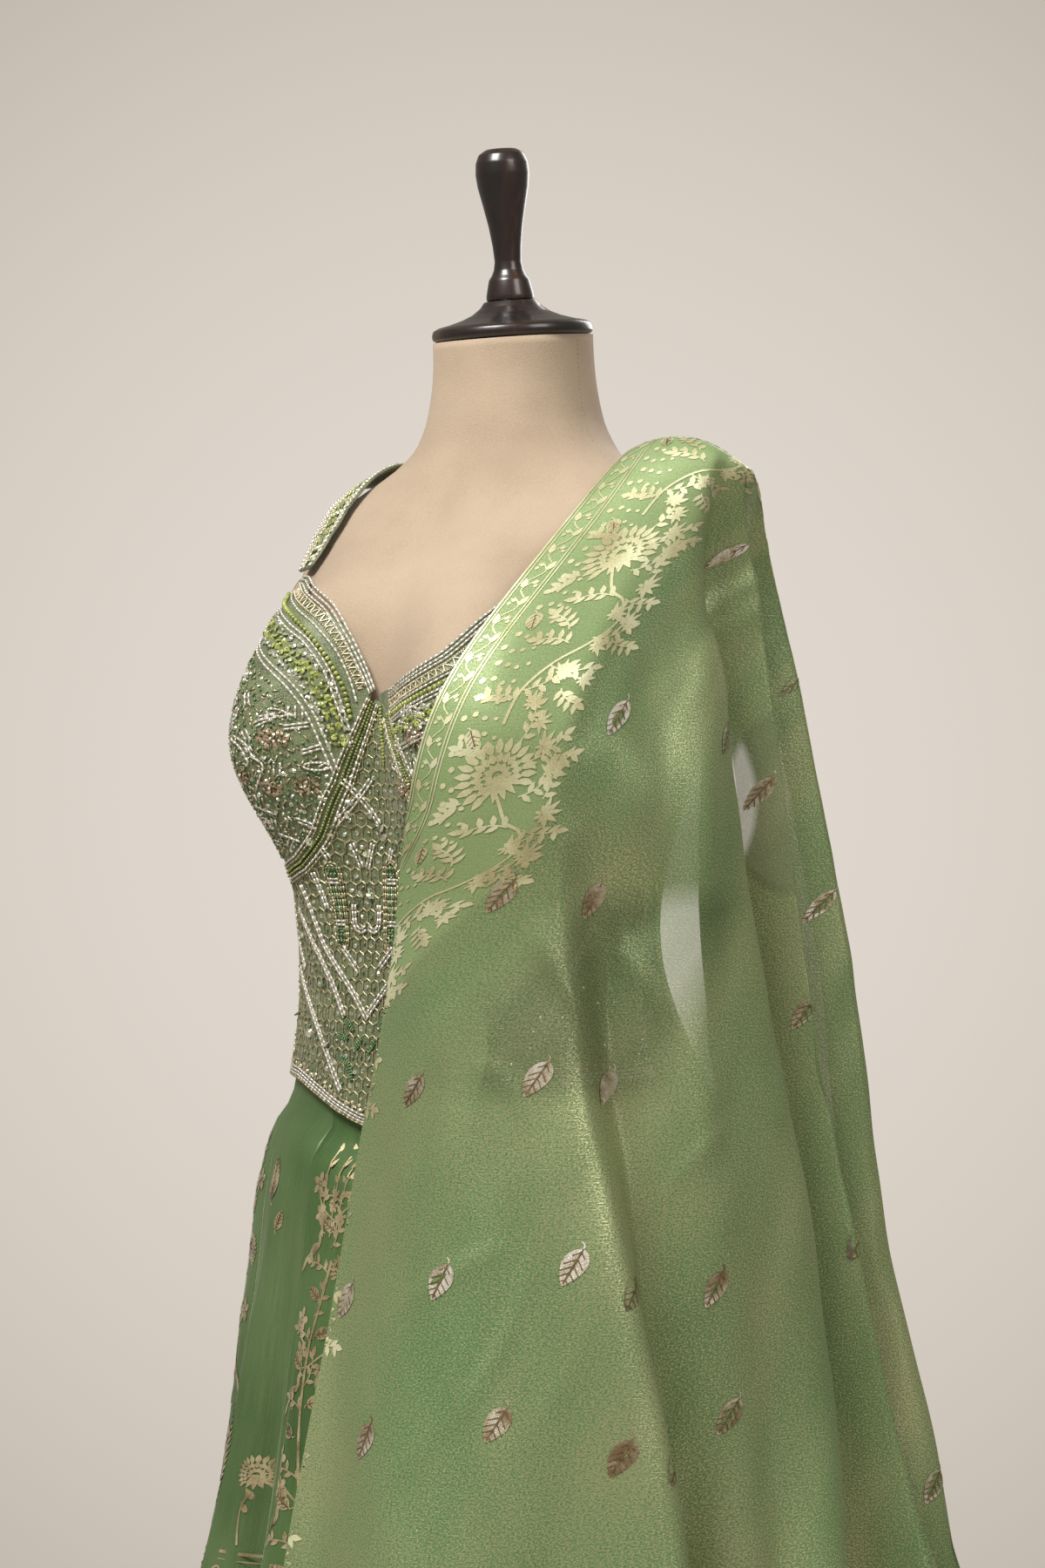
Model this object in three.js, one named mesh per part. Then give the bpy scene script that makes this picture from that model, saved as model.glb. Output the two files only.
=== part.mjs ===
// A bridal lehenga set on a limbless dress form: corset blouse (choli), gored skirt (lehenga)
// and a long tissue scarf (dupatta) pleated over the left shoulder. Millimetres, +Z up.
// The wearer's front faces -Y and the wearer's left is +X. The origin is on the floor, on the pole's axis.
import * as THREE from 'three';

// ---- driving dimensions -------------------------------------------------------------------------
const DEG = Math.PI / 180;
const FORM_LIFT = -1.5;           // the form's own surface, just under the size that the cloth is cut to
const BLOUSE_LIFT = 3.6;          // inside of the blouse cloth above that size
const BLOUSE_THICK = 1.8;         // silk, net and lining, embroidered through
const BAND_LIFT = 8.6;            // inside of the beaded bands, just clear of the blouse
const BAND_THICK = 1.6;
const SKIRT_LIFT = 0.2;           // inside of the skirt top above that size, under the blouse
const SKIRT_THICK = 1.4;
const DUPATTA_THICK = 1.2;
const SEAM_HALF_GAP = 0.2;      // each piece stops this short of its seam line
const CUP_SEAM_HALF_GAP = 0.45; // the same on the steep seam round a cup
const PANEL_COUNT = 14;         // kalis of the skirt
const FIRST_SEAM = -21 * DEG;   // a seam of the skirt, on the wearer's right of centre front
const WAIST_TOP = 1076;
const WAIST_BOTTOM = 1040;
const SKIRT_HEM = 12;
const CENTRE_FRONT_HALF_ANGLE = 26;   // degrees, half the centre front panel of the blouse
const SIDE_SEAM_ANGLE = 90;           // degrees
const NECK_LEAN = 6 * DEG;            // the neck, its cap and its finial lean forward
const NECK_TOP = { y: 40, z: 1545 };
const POLE_RADIUS = 15;
const BASE_RADIUS = 165;
const BASE_THICK = 14;

// Dress form, a row for each level: half width, depth to the front and to the back of its centre.
const formSections = [
  { z: 840, width: 160, front: 114, back: 126, centre: 6 },
  { z: 900, width: 158, front: 116, back: 122, centre: 4 },
  { z: 950, width: 148, front: 112, back: 114, centre: 0 },
  { z: 1000, width: 135, front: 107, back: 102, centre: -5 },
  { z: 1040, width: 125, front: 101, back: 93, centre: -8 },
  { z: 1084, width: 121, front: 98, back: 88, centre: -8 },
  { z: 1164, width: 127, front: 97, back: 90, centre: -6 },
  { z: 1260, width: 137, front: 97, back: 95, centre: -2 },
  { z: 1331, width: 145, front: 96, back: 98, centre: 0 },
  { z: 1362, width: 152, front: 90, back: 98, centre: 6 },
  { z: 1400, width: 154, front: 76, back: 97, centre: 16 },
  { z: 1420, width: 143, front: 68, back: 95, centre: 22 },
  { z: 1437, width: 116, front: 62, back: 92, centre: 28 },
  { z: 1450, width: 92, front: 60, back: 88, centre: 33 },
  { z: 1465, width: 73, front: 60, back: 82, centre: 38 },
  { z: 1485, width: 62, front: 60, back: 72, centre: 40 },
  { z: 1515, width: 57, front: 59, back: 62, centre: 41 },
  { z: 1552, width: 56.5, front: 58, back: 58, centre: 40 },
];
const SECTION_POWER = 2.2;      // a little squarer than an ellipse
const bust = { angle: 32 * DEG, spread: 21 * DEG, z: 1258, above: 104, below: 84, height: 66 };

// Skirt below the hip, a row for each level; fold is how far a panel's middle stands out from its seams.
const skirtSections = [
  { z: 1020, width: 130, front: 104, back: 98, centre: -6, fold: 0 },
  { z: 978, width: 148, front: 122, back: 118, centre: -5, fold: 1 },
  { z: 941, width: 157, front: 130, back: 134, centre: -4, fold: 3 },
  { z: 848, width: 166, front: 142, back: 162, centre: -4, fold: 8 },
  { z: 670, width: 188, front: 172, back: 208, centre: -4, fold: 14 },
  { z: 400, width: 240, front: 232, back: 262, centre: 0, fold: 24 },
  { z: 12, width: 320, front: 320, back: 345, centre: 0, fold: 34 },
];
const FLARE_START = 9;          // the skirt leaves the form this far below the blouse's hem
const FLARE_BLEND = 26;         // and reaches its own sections over this height

// Edges of the blouse by angle from centre front, in degrees, on the wearer's right and left.
const blouseTop = [
  { angle: 0, right: 1286, left: 1286 },
  { angle: 4, right: 1308, left: 1289 },
  { angle: 13, right: 1336, left: 1295 },
  { angle: 28, right: 1356, left: 1313 },
  { angle: 40, right: 1371, left: 1342 },
  { angle: 50, right: 1371, left: 1360 },
  { angle: 58, right: 1366, left: 1371 },
  { angle: 72, right: 1318, left: 1369 },
  { angle: 90, right: 1292, left: 1304 },
  { angle: 115, right: 1305, left: 1336 },
  { angle: 130, right: 1338, left: 1338 },
  { angle: 146, right: 1338, left: 1338 },
  { angle: 180, right: 1326, left: 1326 },
];
const cupSeam = [
  { angle: 0, right: 1284, left: 1284 },
  { angle: 5, right: 1258, left: 1279 },
  { angle: 10, right: 1226, left: 1262 },
  { angle: 18, right: 1190, left: 1236 },
  { angle: 28, right: 1171, left: 1188 },
  { angle: 45, right: 1163, left: 1166 },
  { angle: 90, right: 1168, left: 1168 },
];
const blouseHem = [
  { angle: 0, both: 990 },
  { angle: 13, both: 997 },
  { angle: 31, both: 1011 },
  { angle: 45, both: 1019 },
  { angle: 90, both: 1022 },
  { angle: 180, both: 1018 },
];

// The dupatta, a row for each fold line from its inner border to its outer border. Each column is where
// that line crosses a level: down the front from the shoulder, and down the back.
const dupattaLevels = [
  { name: 'frontHem', z: 260 }, { name: 'frontThigh', z: 700 }, { name: 'frontHip', z: 930 },
  { name: 'frontWaist', z: 1110 }, { name: 'frontApex', z: 1250 }, { name: 'frontBust', z: 1290 },
  { name: 'frontChest', z: 1385 },
  { name: 'ridge' },
  { name: 'backShoulder', z: 1428 }, { name: 'backChest', z: 1385 }, { name: 'backBust', z: 1290 },
  { name: 'backWaist', z: 1110 }, { name: 'backHip', z: 930 }, { name: 'backThigh', z: 700 },
  { name: 'backHem', z: 330 },
];
const dupattaFolds = [
  { frontHem: [10, -345], frontThigh: [5, -222], frontHip: [0, -148], frontWaist: [27, -131],
    frontApex: [76, -165], frontBust: [88, -160], frontChest: [114, -76], ridge: [112, 36, 1462],
    backShoulder: [92, 109], backChest: [58, 122], backBust: [48, 116], backWaist: [-4, 98],
    backHip: [0, 150], backThigh: [0, 240], backHem: [0, 326] },
  { frontHem: [130, -343], frontThigh: [90, -226], frontHip: [75, -160], frontWaist: [72, -138],
    frontApex: [120, -148], frontBust: [122, -142], frontChest: [130, -62], ridge: [126, 34, 1465],
    backShoulder: [101, 110], backChest: [66, 126], backBust: [56, 124], backWaist: [8, 108],
    backHip: [22, 166], backThigh: [36, 256], backHem: [60, 344] },
  { frontHem: [240, -292], frontThigh: [168, -186], frontHip: [145, -140], frontWaist: [125, -122],
    frontApex: [148, -108], frontBust: [148, -104], frontChest: [146, -46], ridge: [140, 33, 1466],
    backShoulder: [110, 106], backChest: [73, 122], backBust: [64, 120], backWaist: [18, 103],
    backHip: [40, 158], backThigh: [66, 246], backHem: [105, 332] },
  { frontHem: [325, -187], frontThigh: [224, -113], frontHip: [196, -86], frontWaist: [170, -76],
    frontApex: [168, -62], frontBust: [165, -60], frontChest: [159, -28], ridge: [154, 33, 1465],
    backShoulder: [119, 105], backChest: [81, 127], backBust: [73, 128], backWaist: [30, 112],
    backHip: [60, 172], backThigh: [98, 260], backHem: [150, 346] },
  { frontHem: [364, -45], frontThigh: [254, -20], frontHip: [225, -12], frontWaist: [197, -14],
    frontApex: [180, -14], frontBust: [175, -16], frontChest: [170, -6], ridge: [167, 34, 1462],
    backShoulder: [128, 101], backChest: [88, 124], backBust: [80, 125], backWaist: [39, 108],
    backHip: [76, 165], backThigh: [124, 250], backHem: [190, 332] },
  { frontHem: [366, 112], frontThigh: [260, 88], frontHip: [232, 68], frontWaist: [207, 48],
    frontApex: [185, 32], frontBust: [178, 28], frontChest: [176, 20], ridge: [178, 37, 1457],
    backShoulder: [138, 98], backChest: [96, 129], backBust: [90, 132], backWaist: [49, 115],
    backHip: [94, 176], backThigh: [152, 260], backHem: [228, 337] },
  { frontHem: [322, 146], frontThigh: [218, 98], frontHip: [176, 62], frontWaist: [150, 58],
    frontApex: [156, 53], frontBust: [153, 52], frontChest: [162, 46], ridge: [184, 44, 1451],
    backShoulder: [145, 101], backChest: [101, 134], backBust: [87, 140], backWaist: [47, 124],
    backHip: [91, 187], backThigh: [149, 272], backHem: [224, 350] },
  { frontHem: [347, 205], frontThigh: [273, 149], frontHip: [233, 119], frontWaist: [208, 100],
    frontApex: [194, 90], frontBust: [190, 87], frontChest: [180, 76], ridge: [189, 52, 1446],
    backShoulder: [152, 95], backChest: [108, 130], backBust: [100, 134], backWaist: [61, 116],
    backHip: [112, 172], backThigh: [178, 250], backHem: [262, 314] },
  { frontHem: [316, 196], frontThigh: [233, 138], frontHip: [196, 110], frontWaist: [172, 92],
    frontApex: [160, 84], frontBust: [156, 82], frontChest: [152, 76], ridge: [191, 61, 1440],
    backShoulder: [157, 98], backChest: [113, 135], backBust: [98, 143], backWaist: [59, 125],
    backHip: [109, 184], backThigh: [175, 263], backHem: [259, 328] },
  { frontHem: [366, 255], frontThigh: [275, 195], frontHip: [234, 164], frontWaist: [214, 149],
    frontApex: [194, 133], frontBust: [188, 129], frontChest: [172, 112], ridge: [190, 70, 1434],
    backShoulder: [164, 90], backChest: [122, 130], backBust: [112, 130], backWaist: [74, 112],
    backHip: [132, 160], backThigh: [206, 232], backHem: [296, 284] },
  { frontHem: [330, 262], frontThigh: [239, 199], frontHip: [200, 170], frontWaist: [183, 156],
    frontApex: [163, 141], frontBust: [157, 137], frontChest: [146, 122], ridge: [185, 78, 1429],
    backShoulder: [163, 97], backChest: [126, 135], backBust: [110, 140], backWaist: [73, 121],
    backHip: [130, 172], backThigh: [204, 246], backHem: [294, 299] },
];

// ---- curves and surfaces ------------------------------------------------------------------------
function catmullRom(a, b, c, d, t) {
  return 0.5 * (2 * b + (c - a) * t + (2 * a - 5 * b + 4 * c - d) * t * t
    + (3 * b - a - 3 * c + d) * t * t * t);
}

// Smooth value of one column of a table at a given key.
function smoothColumn(table, keyName, key, column) {
  const rising = table[0][keyName] < table[table.length - 1][keyName];
  const rows = rising ? table : [...table].reverse();
  const last = rows.length - 1;
  const clamped = Math.min(Math.max(key, rows[0][keyName]), rows[last][keyName]);
  let i = 0;
  while (i < last - 1 && clamped > rows[i + 1][keyName]) i += 1;
  const t = (clamped - rows[i][keyName]) / (rows[i + 1][keyName] - rows[i][keyName]);
  const at = (k) => rows[Math.min(Math.max(k, 0), last)][column];
  return catmullRom(at(i - 1), at(i), at(i + 1), at(i + 2), t);
}

// Straight-line value of one column of a table, for edges that turn sharply.
function linearColumn(table, key, column) {
  let i = 0;
  while (i < table.length - 2 && key > table[i + 1].angle) i += 1;
  const low = table[i];
  const high = table[i + 1];
  const t = (key - low.angle) / (high.angle - low.angle);
  return low[column] + (high[column] - low[column]) * t;
}

function sectionRadius(angle, width, front, back) {
  const across = Math.abs(Math.sin(angle)) / width;
  const along = Math.abs(Math.cos(angle)) / (Math.cos(angle) > 0 ? front : back);
  return 1 / (across ** SECTION_POWER + along ** SECTION_POWER) ** (1 / SECTION_POWER);
}

// Point on the form, raised by lift; angle 0 is centre front and grows to the wearer's left.
function formPoint(angle, z, lift) {
  const section = {};
  for (const column of ['width', 'front', 'back', 'centre']) {
    section[column] = smoothColumn(formSections, 'z', z, column);
  }
  let radius = sectionRadius(angle, section.width, section.front, section.back) + lift;
  const rise = (z - bust.z) / (z > bust.z ? bust.above : bust.below);
  const fromFront = Math.atan2(Math.sin(angle), Math.cos(angle));
  for (const side of [-1, 1]) {
    const turn = (fromFront - side * bust.angle) / bust.spread;
    radius += bust.height * Math.exp(-turn * turn - rise * rise);
  }
  return new THREE.Vector3(radius * Math.sin(angle), section.centre - radius * Math.cos(angle), z);
}

// Point on the skirt: it follows the form under the blouse, then flares in one soft fold a panel.
function skirtPoint(angle, z, lift) {
  const onForm = formPoint(angle, z, lift);
  const fromFront = Math.abs(Math.atan2(Math.sin(angle), Math.cos(angle))) / DEG;
  const below = (linearColumn(blouseHem, fromFront, 'both') - FLARE_START - z) / FLARE_BLEND;
  if (below <= 0) return onForm;
  const column = (name) => smoothColumn(skirtSections, 'z', z, name);
  const turn = (angle - FIRST_SEAM) * PANEL_COUNT;
  const panel = Math.floor(turn / (2 * Math.PI) + 1e-9);
  const unevenness = 1 + 0.22 * Math.sin(panel * 2.4 + 0.7);
  const fold = column('fold') * unevenness * (1 - Math.cos(turn)) / 2;
  const radius = sectionRadius(angle, column('width'), column('front'), column('back')) + fold + lift;
  const flared = new THREE.Vector3(radius * Math.sin(angle), column('centre') - radius * Math.cos(angle), z);
  const share = THREE.MathUtils.smoothstep(below, 0, 1);
  return onForm.lerp(flared, share);
}

// A wall between two faces of one surface. point(u, v, lift) gives each corner; u turns to the
// wearer's left or outward along the cloth, v goes up, and a higher lift is the outer face.
function wallGeometry(point, columns, rows, lift, thickness, ring = false) {
  const perSide = (columns + 1) * (rows + 1);
  const positions = [];
  for (const side of [0, 1]) {
    for (let j = 0; j <= rows; j += 1) {
      for (let i = 0; i <= columns; i += 1) {
        positions.push(...point(i / columns, j / rows, lift + side * thickness).toArray());
      }
    }
  }
  const at = (side, i, j) => side * perSide + j * (columns + 1) + (ring && i === columns ? 0 : i);
  const faces = [];
  const quad = (a, b, c, d) => faces.push(a, b, c, a, c, d);
  for (let j = 0; j < rows; j += 1) {
    for (let i = 0; i < columns; i += 1) {
      quad(at(1, i, j), at(1, i + 1, j), at(1, i + 1, j + 1), at(1, i, j + 1));
      quad(at(0, i, j), at(0, i, j + 1), at(0, i + 1, j + 1), at(0, i + 1, j));
    }
    if (!ring) {
      quad(at(0, 0, j), at(1, 0, j), at(1, 0, j + 1), at(0, 0, j + 1));
      quad(at(0, columns, j), at(0, columns, j + 1), at(1, columns, j + 1), at(1, columns, j));
    }
  }
  for (let i = 0; i < columns; i += 1) {
    quad(at(0, i, 0), at(0, i + 1, 0), at(1, i + 1, 0), at(1, i, 0));
    quad(at(0, i, rows), at(1, i, rows), at(1, i + 1, rows), at(0, i + 1, rows));
  }
  const geometry = new THREE.BufferGeometry();
  geometry.setAttribute('position', new THREE.Float32BufferAttribute(positions, 3));
  geometry.setIndex(faces);
  return geometry;
}

// Gives a surface without a lift of its own one along its normal, found from nearby points.
function lifted(surface) {
  const step = 1e-3;
  return (u, v, lift) => {
    const alongU = surface(u + step, v).sub(surface(u - step, v));
    const alongV = surface(u, v + step).sub(surface(u, v - step));
    return surface(u, v).addScaledVector(alongU.cross(alongV).normalize(), lift);
  };
}

// ---- materials ----------------------------------------------------------------------------------
function finish(color, roughness, metalness) {
  return new THREE.MeshStandardMaterial({ color, roughness, metalness });
}

const makeMaterial = {
  suede: () => finish('#dcc6a8', 0.9, 0),
  blackWood: () => finish('#1b1412', 0.3, 0),
  blackMetal: () => finish('#22201f', 0.45, 0.6),
  beadedNet: () => finish('#93a07a', 0.5, 0.2),
  beadBand: () => finish('#d3cfb2', 0.35, 0.4),
  brocadeSatin: () => finish('#5f9a52', 0.5, 0.15),
  plainSatin: () => finish('#6aa35c', 0.45, 0.1),
  tissue: () => finish('#84a86a', 0.45, 0.35),
};

const group = new THREE.Group();

function addPiece(name, geometry, material, parent = group) {
  geometry.computeVertexNormals();
  const mesh = new THREE.Mesh(geometry, material);
  mesh.name = name;
  parent.add(mesh);
  return mesh;
}

// ---- dress form ---------------------------------------------------------------------------------
function buildStand() {
  const base = new THREE.CylinderGeometry(BASE_RADIUS - 6, BASE_RADIUS, BASE_THICK, 48);
  addPiece('stand_base', base.rotateX(Math.PI / 2).translate(0, 0, BASE_THICK / 2), makeMaterial.blackMetal());
  const clearance = 0.3;
  const poleBottom = BASE_THICK + clearance;
  const poleLength = formSections[0].z - clearance - poleBottom;
  const pole = new THREE.CylinderGeometry(POLE_RADIUS, POLE_RADIUS, poleLength, 24);
  addPiece('stand_pole', pole.rotateX(Math.PI / 2).translate(0, 0, poleBottom + poleLength / 2),
    makeMaterial.blackMetal());
}

function buildTorso() {
  const levels = [840, 870, 930, 1000, 1050, 1100, 1160, 1200, 1232, 1260, 1290, 1320, 1350, 1375, 1400,
    1418, 1432, 1443, 1454, 1466, 1485, 1512, 1545];
  const segments = 40;
  const top = levels.length - 1;
  const positions = [];
  levels.forEach((z, j) => {
    for (let i = 0; i < segments; i += 1) {
      const p = formPoint((i / segments) * 2 * Math.PI, z, FORM_LIFT);
      if (j === top) p.z += (p.y - NECK_TOP.y) * Math.tan(NECK_LEAN);
      positions.push(...p.toArray());
    }
  });
  const bottomCentre = positions.length / 3;
  positions.push(0, formSections[0].centre, levels[0], 0, NECK_TOP.y, NECK_TOP.z);
  const faces = [];
  for (let i = 0; i < segments; i += 1) {
    const next = (i + 1) % segments;
    for (let j = 0; j < top; j += 1) {
      const low = j * segments;
      const high = low + segments;
      faces.push(low + i, low + next, high + next, low + i, high + next, high + i);
    }
    faces.push(bottomCentre, next, i, bottomCentre + 1, top * segments + i, top * segments + next);
  }
  const geometry = new THREE.BufferGeometry();
  geometry.setAttribute('position', new THREE.Float32BufferAttribute(positions, 3));
  geometry.setIndex(faces);
  addPiece('form_torso', geometry, makeMaterial.suede());
}

// Profile rows are radius and height above the neck's top; each piece is turned on a lathe.
function turned(profile, segments) {
  const points = profile.map(([radius, height]) => new THREE.Vector2(radius, height));
  return new THREE.LatheGeometry(points, segments).rotateX(Math.PI / 2);
}

function buildNeckTurning() {
  const lean = new THREE.Group();
  lean.position.set(0, NECK_TOP.y, NECK_TOP.z + 0.6);
  lean.rotation.x = NECK_LEAN;
  group.add(lean);
  const cap = [[0, 0], [55, 0], [57.5, 1.5], [58, 4.5], [57, 8], [53, 10], [46, 11.5], [36, 14.5], [28, 18],
    [22, 22.5], [19, 26.7], [0, 26.7]];
  const finial = [[0, 27], [17, 27], [17.2, 30], [16, 36], [14.6, 42], [12.4, 45], [10.6, 49], [9.6, 55],
    [10.4, 66], [12.4, 80], [15.5, 95], [18.4, 108], [19.4, 117], [18.8, 125], [16.4, 131], [11, 134.4],
    [0, 135.4]];
  addPiece('neck_cap', turned(cap, 28), makeMaterial.blackWood(), lean);
  addPiece('finial', turned(finial, 20), makeMaterial.blackWood(), lean);
}

// ---- blouse -------------------------------------------------------------------------------------
const sides = [{ name: 'right', sign: -1 }, { name: 'left', sign: 1 }];

// A panel between two angles and two edges. Angles come from one list, so that neighbours share facets.
function blousePanel(side, angles, bottomEdge, topEdge, rows, startGap, endGap) {
  const mirrored = side.sign < 0;
  const ordered = mirrored ? [...angles].reverse() : angles;
  const columns = ordered.length - 1;
  const point = (u, v, lift) => {
    const index = Math.round(u * columns);
    const degrees = ordered[index];
    const low = bottomEdge(degrees, side.name);
    const high = topEdge(degrees, side.name);
    const z = low + (high - low) * v;
    const atStart = degrees === angles[0] ? startGap : 0;
    const atEnd = degrees === angles[columns] ? endGap : 0;
    const gapAngle = (atStart - atEnd) / 120;
    return formPoint(side.sign * (degrees * DEG + gapAngle), z, lift);
  };
  return wallGeometry(point, columns, rows, BLOUSE_LIFT, BLOUSE_THICK);
}

const hemEdge = (degrees) => linearColumn(blouseHem, degrees, 'both');
const topEdge = (degrees, side) => linearColumn(blouseTop, degrees, side);
const cupSeamEdge = (degrees, side) => linearColumn(cupSeam, degrees, side);
const belowCup = (degrees, side) => cupSeamEdge(degrees, side) - CUP_SEAM_HALF_GAP;
const aboveCup = (degrees, side) => cupSeamEdge(degrees, side) + CUP_SEAM_HALF_GAP;

function buildBlousePanels() {
  const centreAngles = [0, 5, 10, 14, 18, 22, CENTRE_FRONT_HALF_ANGLE];
  const sideAngles = [CENTRE_FRONT_HALF_ANGLE, 28, 35, 45, 54, 63, 72, 81, SIDE_SEAM_ANGLE];
  const cupAngles = [3, 5, 10, 14, 18, 22, 26, 28, 35, 40, 45, 54, 63, 72, 81, SIDE_SEAM_ANGLE];
  const backAngles = [SIDE_SEAM_ANGLE, 100, 110, 120, 130, 138, 146, 157, 168, 180];
  const centreDegrees = [...centreAngles.slice(1).reverse().map((a) => -a), ...centreAngles];
  const centrePoint = (u, v, lift) => {
    const degrees = centreDegrees[Math.round(u * (centreDegrees.length - 1))];
    const side = degrees < 0 ? 'right' : 'left';
    const low = hemEdge(Math.abs(degrees));
    const z = low + (belowCup(Math.abs(degrees), side) - low) * v;
    const atEdge = Math.abs(degrees) === CENTRE_FRONT_HALF_ANGLE ? SEAM_HALF_GAP / 120 : 0;
    return formPoint(degrees * DEG - Math.sign(degrees) * atEdge, z, lift);
  };
  addPiece('blouse_front_centre',
    wallGeometry(centrePoint, centreDegrees.length - 1, 12, BLOUSE_LIFT, BLOUSE_THICK), makeMaterial.beadedNet());
  for (const side of sides) {
    const gap = SEAM_HALF_GAP;
    addPiece(`blouse_front_${side.name}`, blousePanel(side, sideAngles, hemEdge, belowCup, 7, gap, gap),
      makeMaterial.beadedNet());
    addPiece(`blouse_cup_${side.name}`, blousePanel(side, cupAngles, aboveCup, topEdge, 7, 0, gap),
      makeMaterial.beadedNet());
    addPiece(`blouse_back_${side.name}`, blousePanel(side, backAngles, hemEdge, topEdge, 8, gap, gap),
      makeMaterial.beadedNet());
  }
}

// Height at which the form is just as wide as a given half width: the top of the shoulder there.
function shoulderHeight(halfWidth) {
  let low = 1400;
  let high = 1500;
  while (high - low > 0.01) {
    const middle = (low + high) / 2;
    if (smoothColumn(formSections, 'z', middle, 'width') > halfWidth) low = middle;
    else high = middle;
  }
  return low;
}

// Strap over the shoulder: v goes from the top of the cup, over the shoulder, to the back panel. The
// left one sits farther out, under the dupatta.
function strapSurface(side) {
  const inner = side.sign > 0 ? 112 : 84;
  const outer = side.sign > 0 ? 136 : 112;
  const frontBase = 1373;
  const backBase = 1340;
  return (u, v) => {
    const halfWidth = side.sign > 0 ? inner + (outer - inner) * u : outer - (outer - inner) * u;
    const crest = shoulderHeight(halfWidth);
    const base = v < 0.5 ? frontBase : backBase;
    const z = base + (crest - base) * Math.sin(Math.PI * Math.min(Math.max(v, 0), 1));
    const width = smoothColumn(formSections, 'z', z, 'width');
    const depth = smoothColumn(formSections, 'z', z, v < 0.5 ? 'front' : 'back');
    const share = Math.max(1 - (halfWidth / width) ** SECTION_POWER, 0) ** (1 / SECTION_POWER);
    const angle = Math.atan2(side.sign * halfWidth, (v < 0.5 ? 1 : -1) * depth * share);
    return formPoint(angle, z, 0);
  };
}

function buildStraps() {
  for (const side of sides) {
    const surface = strapSurface(side);
    const inside = (u, v) => surface(u, 0.012 + v * 0.976);
    addPiece(`blouse_strap_${side.name}`,
      wallGeometry(lifted(inside), 2, 16, BLOUSE_LIFT, BLOUSE_THICK), makeMaterial.beadBand());
  }
}

// A band that follows an edge of the blouse, from one distance beside it to another.
function edgeBand(side, edge, fromAngle, toAngle, nearOffset, farOffset, columns) {
  const radius = 125;
  const step = 0.5;
  const point = (u, v, lift) => {
    const share = side.sign > 0 ? u : 1 - u;
    const degrees = fromAngle + (toAngle - fromAngle) * share;
    const run = 2 * step * DEG * radius;
    const climb = edge(degrees + step, side.name) - edge(degrees - step, side.name);
    const length = Math.hypot(run, climb);
    const offset = nearOffset + (farOffset - nearOffset) * v;
    const turned = degrees * DEG - (climb / length) * offset / radius;
    return formPoint(side.sign * turned, edge(degrees, side.name) + (run / length) * offset, lift);
  };
  return wallGeometry(point, columns, 1, BAND_LIFT, BAND_THICK);
}

function buildBands() {
  const smoothCup = (degrees, side) => smoothColumn(cupSeam, 'angle', degrees, side);
  const smoothTop = (degrees, side) => smoothColumn(blouseTop, 'angle', degrees, side);
  for (const side of sides) {
    const start = side.name === 'right' ? 7 : 16;
    addPiece(`blouse_cup_band_${side.name}`, edgeBand(side, smoothCup, start, 89.5, -7, 7, 20),
      makeMaterial.beadBand());
    addPiece(`blouse_neck_band_${side.name}`, edgeBand(side, smoothTop, start - 1, 43, -13, -1, 10),
      makeMaterial.beadBand());
  }
  const ringPoint = (u, v, lift) => {
    const degrees = -180 + 360 * u;
    return formPoint(degrees * DEG, hemEdge(Math.abs(degrees)) + 1 + 9 * v, lift);
  };
  addPiece('blouse_hem_band', wallGeometry(ringPoint, 48, 1, BAND_LIFT, BAND_THICK, true),
    makeMaterial.beadBand());
}

// ---- skirt --------------------------------------------------------------------------------------
function buildSkirt() {
  const bandPoint = (u, v, lift) => formPoint(u * 2 * Math.PI, WAIST_BOTTOM + 0.2
    + (WAIST_TOP - WAIST_BOTTOM - 0.2) * v, lift);
  addPiece('skirt_waistband', wallGeometry(bandPoint, 40, 1, SKIRT_LIFT, SKIRT_THICK, true),
    makeMaterial.plainSatin());
  const levels = [SKIRT_HEM, 200, 420, 620, 780, 890, 950, 978, 994, 1010, WAIST_BOTTOM - 0.2];
  const panelAngle = 2 * Math.PI / PANEL_COUNT;
  for (let k = 0; k < PANEL_COUNT; k += 1) {
    const start = FIRST_SEAM + k * panelAngle;
    const point = (u, v, lift) => {
      const z = levels[Math.round(v * (levels.length - 1))];
      const seamGap = SEAM_HALF_GAP / 100;
      return skirtPoint(start + seamGap + (panelAngle - 2 * seamGap) * u, z, lift);
    };
    const brocade = k % 2 === 0;
    addPiece(`skirt_panel_${String(k + 1).padStart(2, '0')}`,
      wallGeometry(point, 6, levels.length - 1, SKIRT_LIFT, SKIRT_THICK),
      brocade ? makeMaterial.brocadeSatin() : makeMaterial.plainSatin());
  }
}

// ---- dupatta ------------------------------------------------------------------------------------
function foldLinePoint(fold, position) {
  const last = dupattaLevels.length - 1;
  const i = Math.min(Math.max(Math.floor(position), 0), last - 1);
  const t = position - i;
  const at = (k) => {
    const level = dupattaLevels[Math.min(Math.max(k, 0), last)];
    const [x, y, z] = fold[level.name];
    return [x, y, z ?? level.z];
  };
  const rows = [at(i - 1), at(i), at(i + 1), at(i + 2)];
  return [0, 1, 2].map((axis) => catmullRom(...rows.map((row) => row[axis]), t));
}

// Point of the scarf: across from 0 at its inner border, along from 0 at its front hem to 14 behind.
function dupattaPoint(across, along) {
  const last = dupattaFolds.length - 1;
  const i = Math.min(Math.max(Math.floor(across), 0), last - 1);
  const t = across - i;
  const rows = [i - 1, i, i + 1, i + 2].map((k) => {
    return foldLinePoint(dupattaFolds[Math.min(Math.max(k, 0), last)], along);
  });
  return new THREE.Vector3(...[0, 1, 2].map((axis) => catmullRom(...rows.map((row) => row[axis]), t)));
}

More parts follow.
